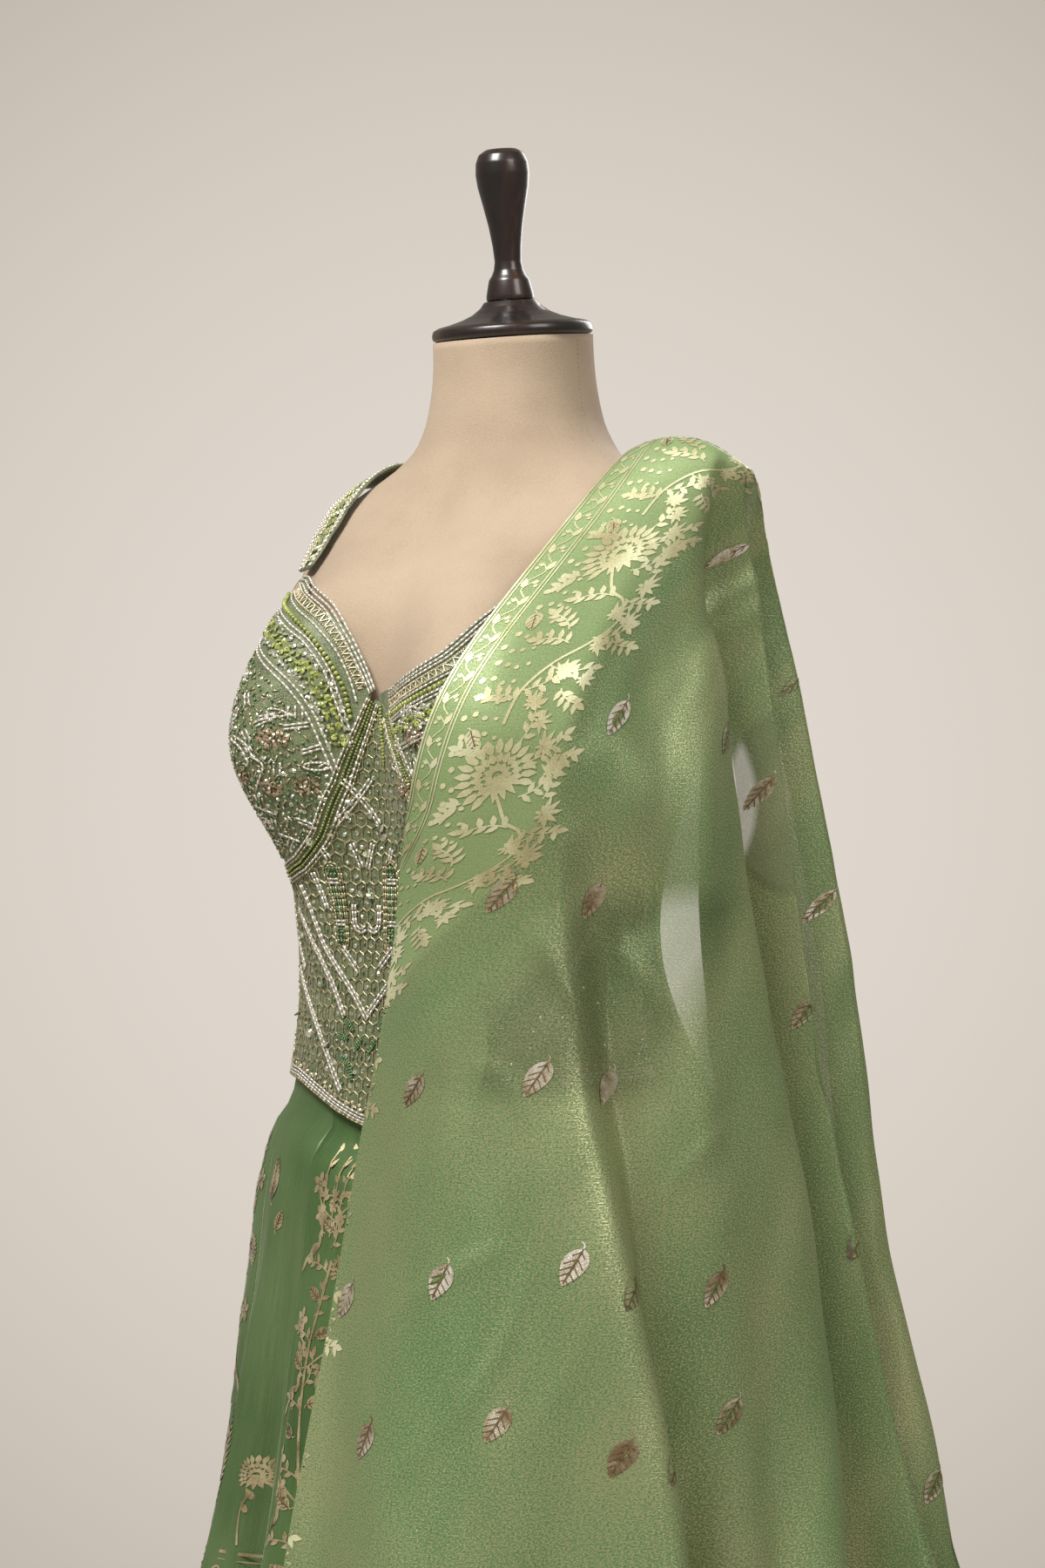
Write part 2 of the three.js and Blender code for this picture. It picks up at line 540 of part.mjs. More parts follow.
function buildDupatta() {
  const stretches = [
    { name: 'dupatta_front_fall', from: 0, to: 6.6, rows: 15 },
    { name: 'dupatta_shoulder', from: 6.61, to: 8, rows: 7 },
    { name: 'dupatta_back_fall', from: 8.01, to: 14, rows: 11 },
  ];
  const columns = 30;
  for (const stretch of stretches) {
    const surface = (u, v) => dupattaPoint(u * (dupattaFolds.length - 1),
      stretch.from + (stretch.to - stretch.from) * v);
    addPiece(stretch.name,
      wallGeometry(lifted(surface), columns, stretch.rows, -DUPATTA_THICK / 2, DUPATTA_THICK),
      makeMaterial.tissue());
  }
}

buildStand();
buildTorso();
buildNeckTurning();
buildBlousePanels();
buildStraps();
buildBands();
buildSkirt();
buildDupatta();

export default group;
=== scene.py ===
import math

import bmesh
import bpy
import numpy as np
from mathutils import Matrix, Vector


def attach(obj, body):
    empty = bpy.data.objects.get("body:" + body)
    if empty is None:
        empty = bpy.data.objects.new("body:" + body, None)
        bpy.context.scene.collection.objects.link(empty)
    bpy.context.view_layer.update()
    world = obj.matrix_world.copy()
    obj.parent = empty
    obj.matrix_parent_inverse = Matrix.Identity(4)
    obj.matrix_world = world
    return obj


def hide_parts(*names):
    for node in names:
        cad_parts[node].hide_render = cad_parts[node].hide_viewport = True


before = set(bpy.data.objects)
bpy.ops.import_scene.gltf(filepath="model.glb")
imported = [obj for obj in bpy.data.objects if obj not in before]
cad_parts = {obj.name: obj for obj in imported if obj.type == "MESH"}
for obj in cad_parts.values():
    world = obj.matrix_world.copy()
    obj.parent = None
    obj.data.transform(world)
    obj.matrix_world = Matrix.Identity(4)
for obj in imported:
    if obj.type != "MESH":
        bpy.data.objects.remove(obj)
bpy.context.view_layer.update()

# ---- Studio ---------------------------------------------------------------------------------------
# A plain pale floor and soft light, strongest from high on the wearer's right front, with a level camera
# on the wearer's left front. The world is a warm grey, brightest along this camera's line of sight.
MM = 0.001
CAMERA_AZIMUTH = math.radians(37)
CAMERA_DISTANCE = 2.6
CAMERA_HEIGHT = 1.226
CAMERA_SHIFT_RIGHT = 0.031       # the camera looks this far to the right of the stand's axis
PIXELS_PER_METRE = 1620          # at the stand's axis, in a picture 1800 pixels high
PICTURE_HEIGHT = 1800

right_of_view = Vector((math.cos(CAMERA_AZIMUTH), math.sin(CAMERA_AZIMUTH), 0))
toward_camera = Vector((math.sin(CAMERA_AZIMUTH), -math.cos(CAMERA_AZIMUTH), 0))
camera_data = bpy.data.cameras.new("camera")
camera_data.sensor_fit = "VERTICAL"
camera_data.angle_y = 2 * math.atan(PICTURE_HEIGHT / PIXELS_PER_METRE / 2 / CAMERA_DISTANCE)
camera = bpy.data.objects.new("camera", camera_data)
bpy.context.scene.collection.objects.link(camera)
camera.location = (right_of_view * CAMERA_SHIFT_RIGHT + toward_camera * CAMERA_DISTANCE
                   + Vector((0, 0, CAMERA_HEIGHT)))
camera.rotation_euler = (math.pi / 2, 0, CAMERA_AZIMUTH)
bpy.context.scene.camera = camera


def area_light(name, toward, height, distance, size, power, colour):
    """A soft box that stands at an angle from the camera's line and looks at the chest."""
    data = bpy.data.lights.new(name, "AREA")
    data.shape = "RECTANGLE"
    data.size, data.size_y = size
    data.energy = power
    data.color = colour
    light = bpy.data.objects.new(name, data)
    bpy.context.scene.collection.objects.link(light)
    azimuth = CAMERA_AZIMUTH + math.radians(toward)
    light.location = (math.sin(azimuth) * distance, -math.cos(azimuth) * distance, height)
    aim = Vector((0, 0, 1.15)) - light.location
    light.rotation_euler = aim.to_track_quat("-Z", "Y").to_euler()


area_light("key_light", -38, 3.7, 2.0, (1.3, 1.1), 122, (1.0, 0.975, 0.94))
area_light("fill_light", 40, 2.9, 2.6, (1.2, 1.2), 24, (1.0, 0.985, 0.96))
area_light("rim_light", 150, 2.4, 2.6, (1.2, 1.6), 22, (1.0, 0.98, 0.95))

world = bpy.data.worlds.new("studio_air")
world.use_nodes = True
world_nodes = world.node_tree.nodes
world_links = world.node_tree.links
direction = world_nodes.new("ShaderNodeTexCoord").outputs["Generated"]
off_axis = world_nodes.new("ShaderNodeVectorMath")
off_axis.operation = "DOT_PRODUCT"
world_links.new(direction, off_axis.inputs[0])
off_axis.inputs[1].default_value = -toward_camera
air_colour = world_nodes.new("ShaderNodeValToRGB")
for position, colour in [(0.955, (0.45, 0.40, 0.35)), (0.982, (0.64, 0.58, 0.515)),
                         (0.999, (0.75, 0.69, 0.62))]:
    stop = air_colour.color_ramp.elements.new(position)
    stop.color = (*colour, 1)
air_colour.color_ramp.elements.remove(air_colour.color_ramp.elements[0])
air_colour.color_ramp.elements.remove(air_colour.color_ramp.elements[-1])
world_links.new(off_axis.outputs["Value"], air_colour.inputs["Fac"])
world_links.new(air_colour.outputs["Color"], world_nodes["Background"].inputs["Color"])
seen = world_nodes.new("ShaderNodeMapRange")
seen.inputs["To Min"].default_value = 0.62
world_links.new(world_nodes.new("ShaderNodeLightPath").outputs["Is Camera Ray"], seen.inputs["Value"])
world_links.new(seen.outputs[0], world_nodes["Background"].inputs["Strength"])
bpy.context.scene.world = world
bpy.context.scene.view_settings.view_transform = "Standard"


class Finish:
    """A node material: its shader's own sockets take the constants, and patterns are linked to it."""

    def __init__(self, name, colour, roughness, **sockets):
        self.material = bpy.data.materials.new(name)
        self.material.use_nodes = True
        self.nodes = self.material.node_tree.nodes
        self.links = self.material.node_tree.links
        self.shader = self.nodes["Principled BSDF"]
        self.shader.inputs["Base Color"].default_value = (*colour, 1)
        self.shader.inputs["Roughness"].default_value = roughness
        for socket, value in sockets.items():
            self.shader.inputs[socket.replace("_", " ")].default_value = value

    def node(self, kind, inputs=None, **settings):
        made = self.nodes.new(kind)
        for name, value in settings.items():
            setattr(made, name, value)
        for socket, value in (inputs or {}).items():
            if isinstance(value, bpy.types.NodeSocket):
                self.links.new(value, made.inputs[socket])
            else:
                made.inputs[socket].default_value = value
        return made

    def coordinates(self, kind, scale=(1, 1, 1), turn=(0, 0, 0)):
        source = self.node("ShaderNodeTexCoord").outputs[kind]
        return self.node("ShaderNodeMapping", {"Vector": source, "Scale": scale, "Rotation": turn}).outputs[0]

    def noise(self, place, scale, detail=3.0, roughness=0.5):
        return self.node("ShaderNodeTexNoise", {"Vector": place, "Scale": scale, "Detail": detail,
                                                "Roughness": roughness}).outputs["Fac"]

    def maths(self, operation, a, b):
        return self.node("ShaderNodeMath", {0: a, 1: b}, operation=operation).outputs[0]

    def rescale(self, value, low, high, new_low, new_high):
        return self.node("ShaderNodeMapRange", {"Value": value, "From Min": low, "From Max": high,
                                                "To Min": new_low, "To Max": new_high}).outputs[0]

    def ramp(self, factor, stops):
        made = self.node("ShaderNodeValToRGB", {"Fac": factor})
        elements = made.color_ramp.elements
        while len(elements) < len(stops):
            elements.new(0.5)
        for element, (position, colour) in zip(elements, stops):
            element.position = position
            element.color = (*colour, 1)
        return made.outputs["Color"]

    def mix(self, factor, a, b):
        made = self.node("ShaderNodeMix", data_type="RGBA")
        for socket, value in (("Factor", factor), ("A", a), ("B", b)):
            wanted = [entry for entry in made.inputs if entry.name == socket and entry.enabled][0]
            if isinstance(value, bpy.types.NodeSocket):
                self.links.new(value, wanted)
            else:
                wanted.default_value = value if socket == "Factor" else (*value, 1)
        return [entry for entry in made.outputs if entry.enabled][0]

    def feed(self, socket, value):
        self.links.new(value, self.shader.inputs[socket])

    def bump(self, height, strength, distance):
        made = self.node("ShaderNodeBump", {"Height": height, "Strength": strength, "Distance": distance})
        self.feed("Normal", made.outputs[0])


floor_bm = bmesh.new()
bmesh.ops.create_circle(floor_bm, cap_ends=True, segments=96, radius=3.0)
floor_mesh = bpy.data.meshes.new("floor")
floor_bm.to_mesh(floor_mesh)
floor_bm.free()
floor = bpy.data.objects.new("floor", floor_mesh)
bpy.context.scene.collection.objects.link(floor)
floor_finish = Finish("floor_paint", (0.62, 0.57, 0.51), 0.8)
floor_finish.feed("Base Color", floor_finish.ramp(
    floor_finish.noise(floor_finish.coordinates("Object"), 3.0),
    [(0.3, (0.60, 0.55, 0.49)), (0.7, (0.64, 0.59, 0.53))]))
floor_mesh.materials.append(floor_finish.material)


def add_piece(name, bm, finishes, smooth=True):
    """Makes a bmesh a piece of the object, riding on its one body."""
    mesh = bpy.data.meshes.new(name)
    bm.to_mesh(mesh)
    bm.free()
    mesh.shade_smooth() if smooth else mesh.shade_flat()
    for finish in finishes:
        mesh.materials.append(finish.material)
    piece = bpy.data.objects.new(name, mesh)
    bpy.context.scene.collection.objects.link(piece)
    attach(piece, "root")
    return piece


# ---- Stand ----------------------------------------------------------------------------------------
# The pole and the weighted round base are steel, painted satin black. They hide under the skirt, and
# keep the shapes of the frame.
stand_finish = Finish("stand_paint", (0.03, 0.03, 0.032), 0.42, Metallic=0.3)
stand_place = stand_finish.coordinates("Object")
stand_finish.feed("Base Color", stand_finish.ramp(stand_finish.noise(stand_place, 40), [
    (0.35, (0.025, 0.025, 0.027)), (0.7, (0.045, 0.044, 0.043))]))
stand_finish.bump(stand_finish.noise(stand_place, 900), 0.2, 0.0002)
for node in ("stand_base", "stand_pole"):
    for material_slot in bpy.data.objects[node].material_slots:
        material_slot.material = stand_finish.material

# ---- Dress form -----------------------------------------------------------------------------------
# A limbless shape of papier mache covered in cream suede cloth, with a hand-stitched seam up each
# shoulder. Rows: height, half width, depth to the front and to the back, and place of the centre.
FORM_SECTIONS = np.array([
    (840, 160, 114, 126, 6), (900, 158, 116, 122, 4), (950, 148, 112, 114, 0), (1000, 135, 107, 102, -5),
    (1040, 125, 101, 93, -8), (1084, 121, 98, 88, -8), (1164, 127, 97, 90, -6), (1260, 137, 97, 95, -2),
    (1331, 145, 96, 98, 0), (1362, 152, 90, 98, 6), (1400, 154, 76, 97, 16), (1420, 143, 68, 95, 22),
    (1437, 116, 62, 92, 28), (1450, 92, 60, 88, 33), (1465, 73, 60, 82, 38), (1485, 62, 60, 72, 40),
    (1515, 57, 59, 62, 41), (1552, 56.5, 58, 58, 40)], dtype=float)
SECTION_POWER = 2.2
BUST_ANGLE = math.radians(32)
BUST_SPREAD = math.radians(21)
BUST_HEIGHT = 1258
BUST_ABOVE = 104
BUST_BELOW = 84
BUST_PROUD = 66
FORM_LIFT = -1.5
NECK_LEAN = math.radians(6)
NECK_TOP_Y = 40
NECK_TOP_Z = 1545


def catmull_rom(a, b, c, d, t):
    return 0.5 * (2 * b + (c - a) * t + (2 * a - 5 * b + 4 * c - d) * t ** 2
                  + (3 * b - a - 3 * c + d) * t ** 3)


def smooth_rows(table, keys):
    """Smooth values of a table's other columns at some keys; its first column rises."""
    keys = np.clip(np.asarray(keys, dtype=float), table[0, 0], table[-1, 0])
    last = len(table) - 1
    index = np.clip(np.searchsorted(table[:, 0], keys, side="right") - 1, 0, last - 1)
    t = (keys - table[index, 0]) / (table[index + 1, 0] - table[index, 0])
    rows = [table[np.clip(index + step, 0, last), 1:] for step in (-1, 0, 1, 2)]
    return np.moveaxis(catmull_rom(*rows, t[..., None]), -1, 0)


def section_radius(angle, width, front, back):
    across = np.abs(np.sin(angle)) / width
    along = np.abs(np.cos(angle)) / np.where(np.cos(angle) > 0, front, back)
    return (across ** SECTION_POWER + along ** SECTION_POWER) ** (-1 / SECTION_POWER)


def form_point(angle, z, lift):
    """Points on the form in millimetres; angle 0 is centre front and grows to the wearer's left."""
    width, front, back, centre = smooth_rows(FORM_SECTIONS, z)
    radius = section_radius(angle, width, front, back) + lift
    rise = (z - BUST_HEIGHT) / np.where(z > BUST_HEIGHT, BUST_ABOVE, BUST_BELOW)
    from_front = np.arctan2(np.sin(angle), np.cos(angle))
    for side in (-1, 1):
        turn = (from_front - side * BUST_ANGLE) / BUST_SPREAD
        radius = radius + BUST_PROUD * np.exp(-turn * turn - rise * rise)
    return np.stack([radius * np.sin(angle), centre - radius * np.cos(angle), z + 0 * radius], axis=-1)


def grid_sheet(columns, rows, place, uv_place=None):
    """A bmesh grid whose corners go where place(u, v) puts them, in millimetres."""
    bm = bmesh.new()
    bmesh.ops.create_grid(bm, x_segments=columns, y_segments=rows, size=0.5)
    flat = np.array([vert.co[:2] for vert in bm.verts]) + 0.5
    if uv_place:
        uv_layer = bm.loops.layers.uv.new("cloth")
        spots = np.stack(uv_place(flat[:, 0], flat[:, 1]), axis=-1)
        for face in bm.faces:
            for loop in face.loops:
                loop[uv_layer].uv = spots[loop.vert.index]
    for vert, point in zip(bm.verts, place(flat[:, 0], flat[:, 1]) * MM):
        vert.co = point
    return bm


def torso_place(u, v):
    z = FORM_SECTIONS[0, 0] + (NECK_TOP_Z - FORM_SECTIONS[0, 0]) * v
    point = form_point((u - 0.5) * 2 * math.pi, z, FORM_LIFT)
    leaning = np.clip((v - 0.93) / 0.07, 0, 1)
    point[:, 2] += leaning * (point[:, 1] - NECK_TOP_Y) * math.tan(NECK_LEAN)
    return point


suede = Finish("cream_suede", (0.46, 0.36, 0.255), 0.9, Sheen_Weight=0.25, Sheen_Roughness=0.45,
               Sheen_Tint=(1.0, 0.93, 0.86, 1))
suede_place = suede.coordinates("Object")
suede_cloud = suede.noise(suede_place, 9, 5)
suede_nap = suede.noise(suede_place, 1100, 2)
suede.feed("Base Color", suede.ramp(
    suede.maths("ADD", suede_cloud, suede.rescale(suede_nap, 0.3, 0.7, -0.10, 0.10)),
    [(0.30, (0.38, 0.29, 0.205)), (0.50, (0.455, 0.355, 0.255)), (0.72, (0.51, 0.405, 0.295))]))
suede.bump(suede_nap, 0.5, 0.0006)

torso_bm = grid_sheet(96, 120, torso_place)
bmesh.ops.remove_doubles(torso_bm, verts=torso_bm.verts, dist=1e-6)
bmesh.ops.holes_fill(torso_bm, edges=torso_bm.edges)
bmesh.ops.recalc_face_normals(torso_bm, faces=torso_bm.faces)
torso = add_piece("form_body", torso_bm, [suede])
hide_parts("form_torso")


class Studs:
    """Many copies of small operator-made shapes, each laid on a surface, joined in one mesh."""

    def __init__(self):
        self.verts = []
        self.faces = []
        self.kinds = []
        self.count = 0

    def lay(self, template, kind, centres, along, normals, size):
        """Adds a copy of a template at each centre: its x runs along, its z stands on the surface."""
        corners, faces = template
        centres, along, normals = (np.asarray(each, dtype=float) for each in (centres, along, normals))
        if len(centres) == 0:
            return
        across = np.cross(normals, along)
        across /= np.maximum(np.linalg.norm(across, axis=1, keepdims=True), 1e-9)
        along = np.cross(across, normals)
        size = np.broadcast_to(np.asarray(size, dtype=float), (len(centres), 3))
        frames = np.stack([along, across, normals], axis=1) * size[:, :, None]
        points = centres[:, None, :] + np.einsum("mk,nkc->nmc", corners, frames)
        self.verts.append(points.reshape(-1, 3))
        for copy in range(len(centres)):
            offset = self.count + copy * len(corners)
            self.faces.extend([tuple(offset + corner for corner in face) for face in faces])
        self.kinds.extend([kind] * (len(faces) * len(centres)))
        self.count += len(corners) * len(centres)

    def make(self, name, finishes, slot, smooth=True):
        mesh = bpy.data.meshes.new(name)
        mesh.from_pydata(np.concatenate(self.verts) * MM, [], self.faces)
        for finish in finishes:
            mesh.materials.append(finish.material)
        mesh.polygons.foreach_set("material_index", self.kinds)
        mesh.shade_smooth() if smooth else mesh.shade_flat()
        piece = bpy.data.objects.new(name, mesh)
        bpy.context.scene.collection.objects.link(piece)
        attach(piece, "root")
        return piece


def template_of(operator, **settings):
    """Corners and faces of one unit shape made by a bmesh operator."""
    bm = bmesh.new()
    operator(bm, **settings)
    shape = (np.array([vert.co[:] for vert in bm.verts]),
             [[vert.index for vert in face.verts] for face in bm.faces])
    bm.free()
    return shape


ROUND_BEAD = template_of(bmesh.ops.create_uvsphere, u_segments=6, v_segments=4, radius=0.5)
BUGLE = template_of(bmesh.ops.create_cone, cap_ends=True, segments=6, radius1=0.5, radius2=0.5, depth=1,
                    matrix=Matrix.Rotation(math.pi / 2, 4, "Y"))
CORD = template_of(bmesh.ops.create_cone, cap_ends=False, segments=4, radius1=0.5, radius2=0.5, depth=1,
                   matrix=Matrix.Rotation(math.pi / 2, 4, "Y"))
SEQUIN = template_of(bmesh.ops.create_cone, cap_ends=False, segments=8, radius1=0.5, radius2=0.10,
                     depth=0.16)

seam_thread = Finish("seam_thread", (0.36, 0.26, 0.18), 0.8)
seam_thread.feed("Base Color", seam_thread.ramp(
    seam_thread.noise(seam_thread.coordinates("Object"), 500),
    [(0.3, (0.26, 0.18, 0.12)), (0.7, (0.44, 0.33, 0.23))]))
stitches = Studs()
for side in (-1, 1):
    seam_z = np.arange(1404, 1541, 3.1)
    seam_turn = np.full_like(seam_z, side * math.radians(93))
    seam_points = form_point(seam_turn, seam_z, FORM_LIFT + 0.1)
    stitches.lay(ROUND_BEAD, 0, seam_points, np.gradient(seam_points, axis=0),
                 seam_points * (1, 1, 0) / np.linalg.norm(seam_points[:, :2], axis=1)[:, None],
                 (1.5, 0.7, 0.6))
stitches.make("form_seam_stitches", [seam_thread], "form_suede")

# ---- Neck cap and finial --------------------------------------------------------------------------
# Two turnings in hardwood, stained almost black and lacquered, worn brown on their proud edges. The
# finial is screwed into the cap, and the cap onto the leaning neck. Rows: radius and height.
CAP_PROFILE = [(0, 0), (55, 0), (57.5, 1.5), (58, 4.5), (57, 8), (53, 10), (46, 11.5), (36, 14.5),
               (28, 18), (22, 22.5), (19, 26.7), (0, 26.7)]
FINIAL_PROFILE = [(0, 27), (17, 27), (17.2, 30), (16, 36), (14.6, 42), (12.4, 45), (10.6, 49), (9.6, 55),
                  (10.4, 66), (12.4, 80), (15.5, 95), (18.4, 108), (19.4, 117), (18.8, 125), (16.4, 131),
                  (11, 134.4), (0, 135.4)]

black_wood = Finish("lacquered_black_wood", (0.012, 0.009, 0.008), 0.34, Coat_Weight=0.5,
                    Coat_Roughness=0.16)
wood_place = black_wood.coordinates("Object", (1, 1, 0.18))
black_wood.feed("Base Color", black_wood.ramp(black_wood.noise(wood_place, 42, 6, 0.65), [
    (0.45, (0.008, 0.006, 0.005)), (0.60, (0.022, 0.010, 0.007)), (0.78, (0.10, 0.042, 0.022))]))
black_wood.bump(black_wood.noise(wood_place, 260, 4), 0.25, 0.0003)


def turned_piece(name, profile, node):
    bm = bmesh.new()
    verts = [bm.verts.new((radius, 0, height)) for radius, height in profile]
    edges = [bm.edges.new(pair) for pair in zip(verts, verts[1:])]
    bmesh.ops.bevel(bm, geom=verts[1:-1], offset=0.9, offset_type="OFFSET", segments=2, profile=0.5,
                    affect="VERTICES", material=-1)
    bmesh.ops.spin(bm, geom=bm.verts[:] + bm.edges[:], cent=(0, 0, 0), axis=(0, 0, 1),
                   angle=2 * math.pi, steps=72, use_merge=True)
    bmesh.ops.remove_doubles(bm, verts=bm.verts, dist=0.01)
    bmesh.ops.recalc_face_normals(bm, faces=bm.faces)
    bmesh.ops.rotate(bm, verts=bm.verts, cent=(0, 0, 0), matrix=Matrix.Rotation(NECK_LEAN, 3, "X"))
    bmesh.ops.translate(bm, verts=bm.verts, vec=(0, NECK_TOP_Y, NECK_TOP_Z + 0.6))
    bmesh.ops.scale(bm, verts=bm.verts, vec=(MM, MM, MM))
    piece = add_piece(name, bm, [black_wood])
    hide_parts(node)


turned_piece("neck_cap_turning", CAP_PROFILE, "neck_cap")
turned_piece("finial_turning", FINIAL_PROFILE, "finial")

# ---- Choli panels ---------------------------------------------------------------------------------
# The corset blouse is sage net over satin, lined and boned: a centre front, two side fronts, two cups,
# two backs and two straps. Rows: angle from centre front, and the edge's height on the right and left.
BLOUSE_FACE = 5.4
BLOUSE_WALL = 1.4
BLOUSE_TOP = np.array([
    (0, 1286, 1286), (4, 1308, 1289), (13, 1336, 1295), (28, 1356, 1313), (40, 1371, 1342),
    (50, 1371, 1360), (58, 1366, 1371), (72, 1318, 1369), (90, 1292, 1304), (115, 1305, 1336),
    (130, 1338, 1338), (146, 1338, 1338), (180, 1326, 1326)], dtype=float)
CUP_SEAM = np.array([
    (0, 1284, 1284), (5, 1258, 1279), (10, 1226, 1262), (18, 1190, 1236), (28, 1171, 1188),
    (45, 1163, 1166), (90, 1168, 1168)], dtype=float)
BLOUSE_HEM = np.array([
    (0, 990, 990), (13, 997, 997), (31, 1011, 1011), (45, 1019, 1019), (90, 1022, 1022),
    (180, 1018, 1018)], dtype=float)
CENTRE_FRONT_HALF_ANGLE = 26
SIDE_SEAM_ANGLE = 90
SIDES = {"right": -1, "left": 1}


def edge_height(table, degrees):
    """Height of an edge at signed degrees from centre front, negative on the wearer's right."""
    degrees = np.asarray(degrees, dtype=float)
    right, left = smooth_rows(table, np.abs(degrees))
    return np.where(degrees < 0, right, left)


blouse_net = Finish("sage_net_on_satin", (0.17, 0.25, 0.11), 0.5, Sheen_Weight=0.2, Metallic=0.15)
net_place = blouse_net.coordinates("Object")
net_cells = blouse_net.node("ShaderNodeTexVoronoi", {"Vector": net_place, "Scale": 640},
                            feature="DISTANCE_TO_EDGE").outputs["Distance"]
net_cloud = blouse_net.noise(net_place, 60, 3)
blouse_net.feed("Base Color", blouse_net.mix(
    blouse_net.rescale(net_cells, 0.02, 0.14, 1, 0), blouse_net.ramp(net_cloud, [
        (0.32, (0.03, 0.065, 0.025)), (0.5, (0.075, 0.125, 0.05)), (0.7, (0.15, 0.21, 0.10))]),
    (0.27, 0.27, 0.15)))
blouse_net.bump(net_cells, 0.5, 0.0004)


def blouse_panel(name, node, start, end, low_edge, high_edge, columns, rows):
    """A panel between two signed angles and two edges, with a wall on its inner side."""
    def place(u, v):
        degrees = start + (end - start) * u
        low = low_edge(degrees)
        return form_point(np.radians(degrees), low + (high_edge(degrees) - low) * v, BLOUSE_FACE)

    piece = add_piece(name, grid_sheet(columns, rows, place), [blouse_net])
    wall = piece.modifiers.new("wall", "SOLIDIFY")
    wall.thickness = BLOUSE_WALL * MM
    wall.offset = -1
    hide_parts(node)
    return piece


def hem_line(degrees):
    return edge_height(BLOUSE_HEM, degrees)


def under_cup(degrees):
    return edge_height(CUP_SEAM, degrees) - 0.4


def over_cup(degrees):
    return edge_height(CUP_SEAM, degrees) + 0.4


def neck_line(degrees):
    return edge_height(BLOUSE_TOP, degrees)


choli_panels = [blouse_panel("choli_front_centre", "blouse_front_centre", -CENTRE_FRONT_HALF_ANGLE,
                             CENTRE_FRONT_HALF_ANGLE, hem_line, under_cup, 36, 60)]
for side, sign in SIDES.items():
    choli_panels.append(blouse_panel(
        f"choli_front_{side}", f"blouse_front_{side}",
        *sorted((sign * (CENTRE_FRONT_HALF_ANGLE + 0.1), sign * (SIDE_SEAM_ANGLE - 0.1))),
        hem_line, under_cup, 34, 32))
    choli_panels.append(blouse_panel(
        f"choli_cup_{side}", f"blouse_cup_{side}", *sorted((sign * 2.0, sign * (SIDE_SEAM_ANGLE - 0.1))),
        over_cup, neck_line, 68, 44))
    choli_panels.append(blouse_panel(
        f"choli_back_{side}", f"blouse_back_{side}",
        *sorted((sign * (SIDE_SEAM_ANGLE + 0.1), sign * 179.9)), hem_line, neck_line, 44, 56))

# Straps: from the top of each cup over the shoulder to the back panel, in the same net and lining.
STRAP_INNER = {-1: 84, 1: 112}
STRAP_OUTER = {-1: 112, 1: 136}
STRAP_FRONT_BASE = 1373
STRAP_BACK_BASE = 1340
crest_heights = np.linspace(1400, 1500, 2001)
crest_widths = smooth_rows(FORM_SECTIONS, crest_heights)[0]


def strap_point(sign, u, v, lift):
    """u runs to the wearer's left across the strap, v from the cup over the shoulder to the back."""
    inner, outer = STRAP_INNER[sign], STRAP_OUTER[sign]
    half_width = inner + (outer - inner) * (u if sign > 0 else 1 - u)
    crest = np.interp(-half_width, -crest_widths, crest_heights)
    front_half = v < 0.5
    base = np.where(front_half, STRAP_FRONT_BASE, STRAP_BACK_BASE)
    z = base + (crest - base) * np.sin(math.pi * np.clip(v, 0, 1))
    width, front, back, _ = smooth_rows(FORM_SECTIONS, z)
    depth = np.where(front_half, front, back)
    share = np.maximum(1 - (half_width / width) ** SECTION_POWER, 0) ** (1 / SECTION_POWER)
    angle = np.arctan2(sign * half_width, np.where(front_half, 1, -1) * depth * share)
    point = form_point(angle, z, 0)
    step = 0.004
    if lift:
        along_u = strap_point(sign, u + step, v, 0) - strap_point(sign, u - step, v, 0)
        along_v = strap_point(sign, u, v + step, 0) - strap_point(sign, u, v - step, 0)
        normal = np.cross(along_u, along_v)
        point = point + lift * normal / np.linalg.norm(normal, axis=-1, keepdims=True)
    return point


for side, sign in SIDES.items():
    strap = add_piece(f"choli_strap_{side}", grid_sheet(
        8, 72, lambda u, v: strap_point(sign, u, 0.012 + 0.976 * v, BLOUSE_FACE)), [blouse_net])
    strap_wall = strap.modifiers.new("wall", "SOLIDIFY")
    strap_wall.thickness = BLOUSE_WALL * MM
    strap_wall.offset = -1
    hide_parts(f"blouse_strap_{side}")
    choli_panels.append(strap)

# ---- Choli beadwork -------------------------------------------------------------------------------
# Hand embroidery through net and lining: silver bugles and couched gold cord in double lines, rows of
# lime glass beads, copper sequin flowers and a honeycomb of cord with a sequin or a bead in its cells.
ARC = 125 * math.pi / 180        # millimetres round the blouse in one degree, for laying out patterns
SILVER, LIME, COPPER, CREAM, GREEN_GLASS, CORD_GOLD, CLEAR, OLIVE = range(8)


def bead_finish(name, dark, light, roughness, scale=320, **sockets):
    finish = Finish(name, light, roughness, **sockets)
    tone = finish.noise(finish.coordinates("Object"), scale, 2)
    finish.feed("Base Color", finish.ramp(tone, [(0.34, dark), (0.62, light)]))
    finish.feed("Roughness", finish.rescale(tone, 0.3, 0.7, roughness + 0.12, max(roughness - 0.08, 0.05)))
    return finish


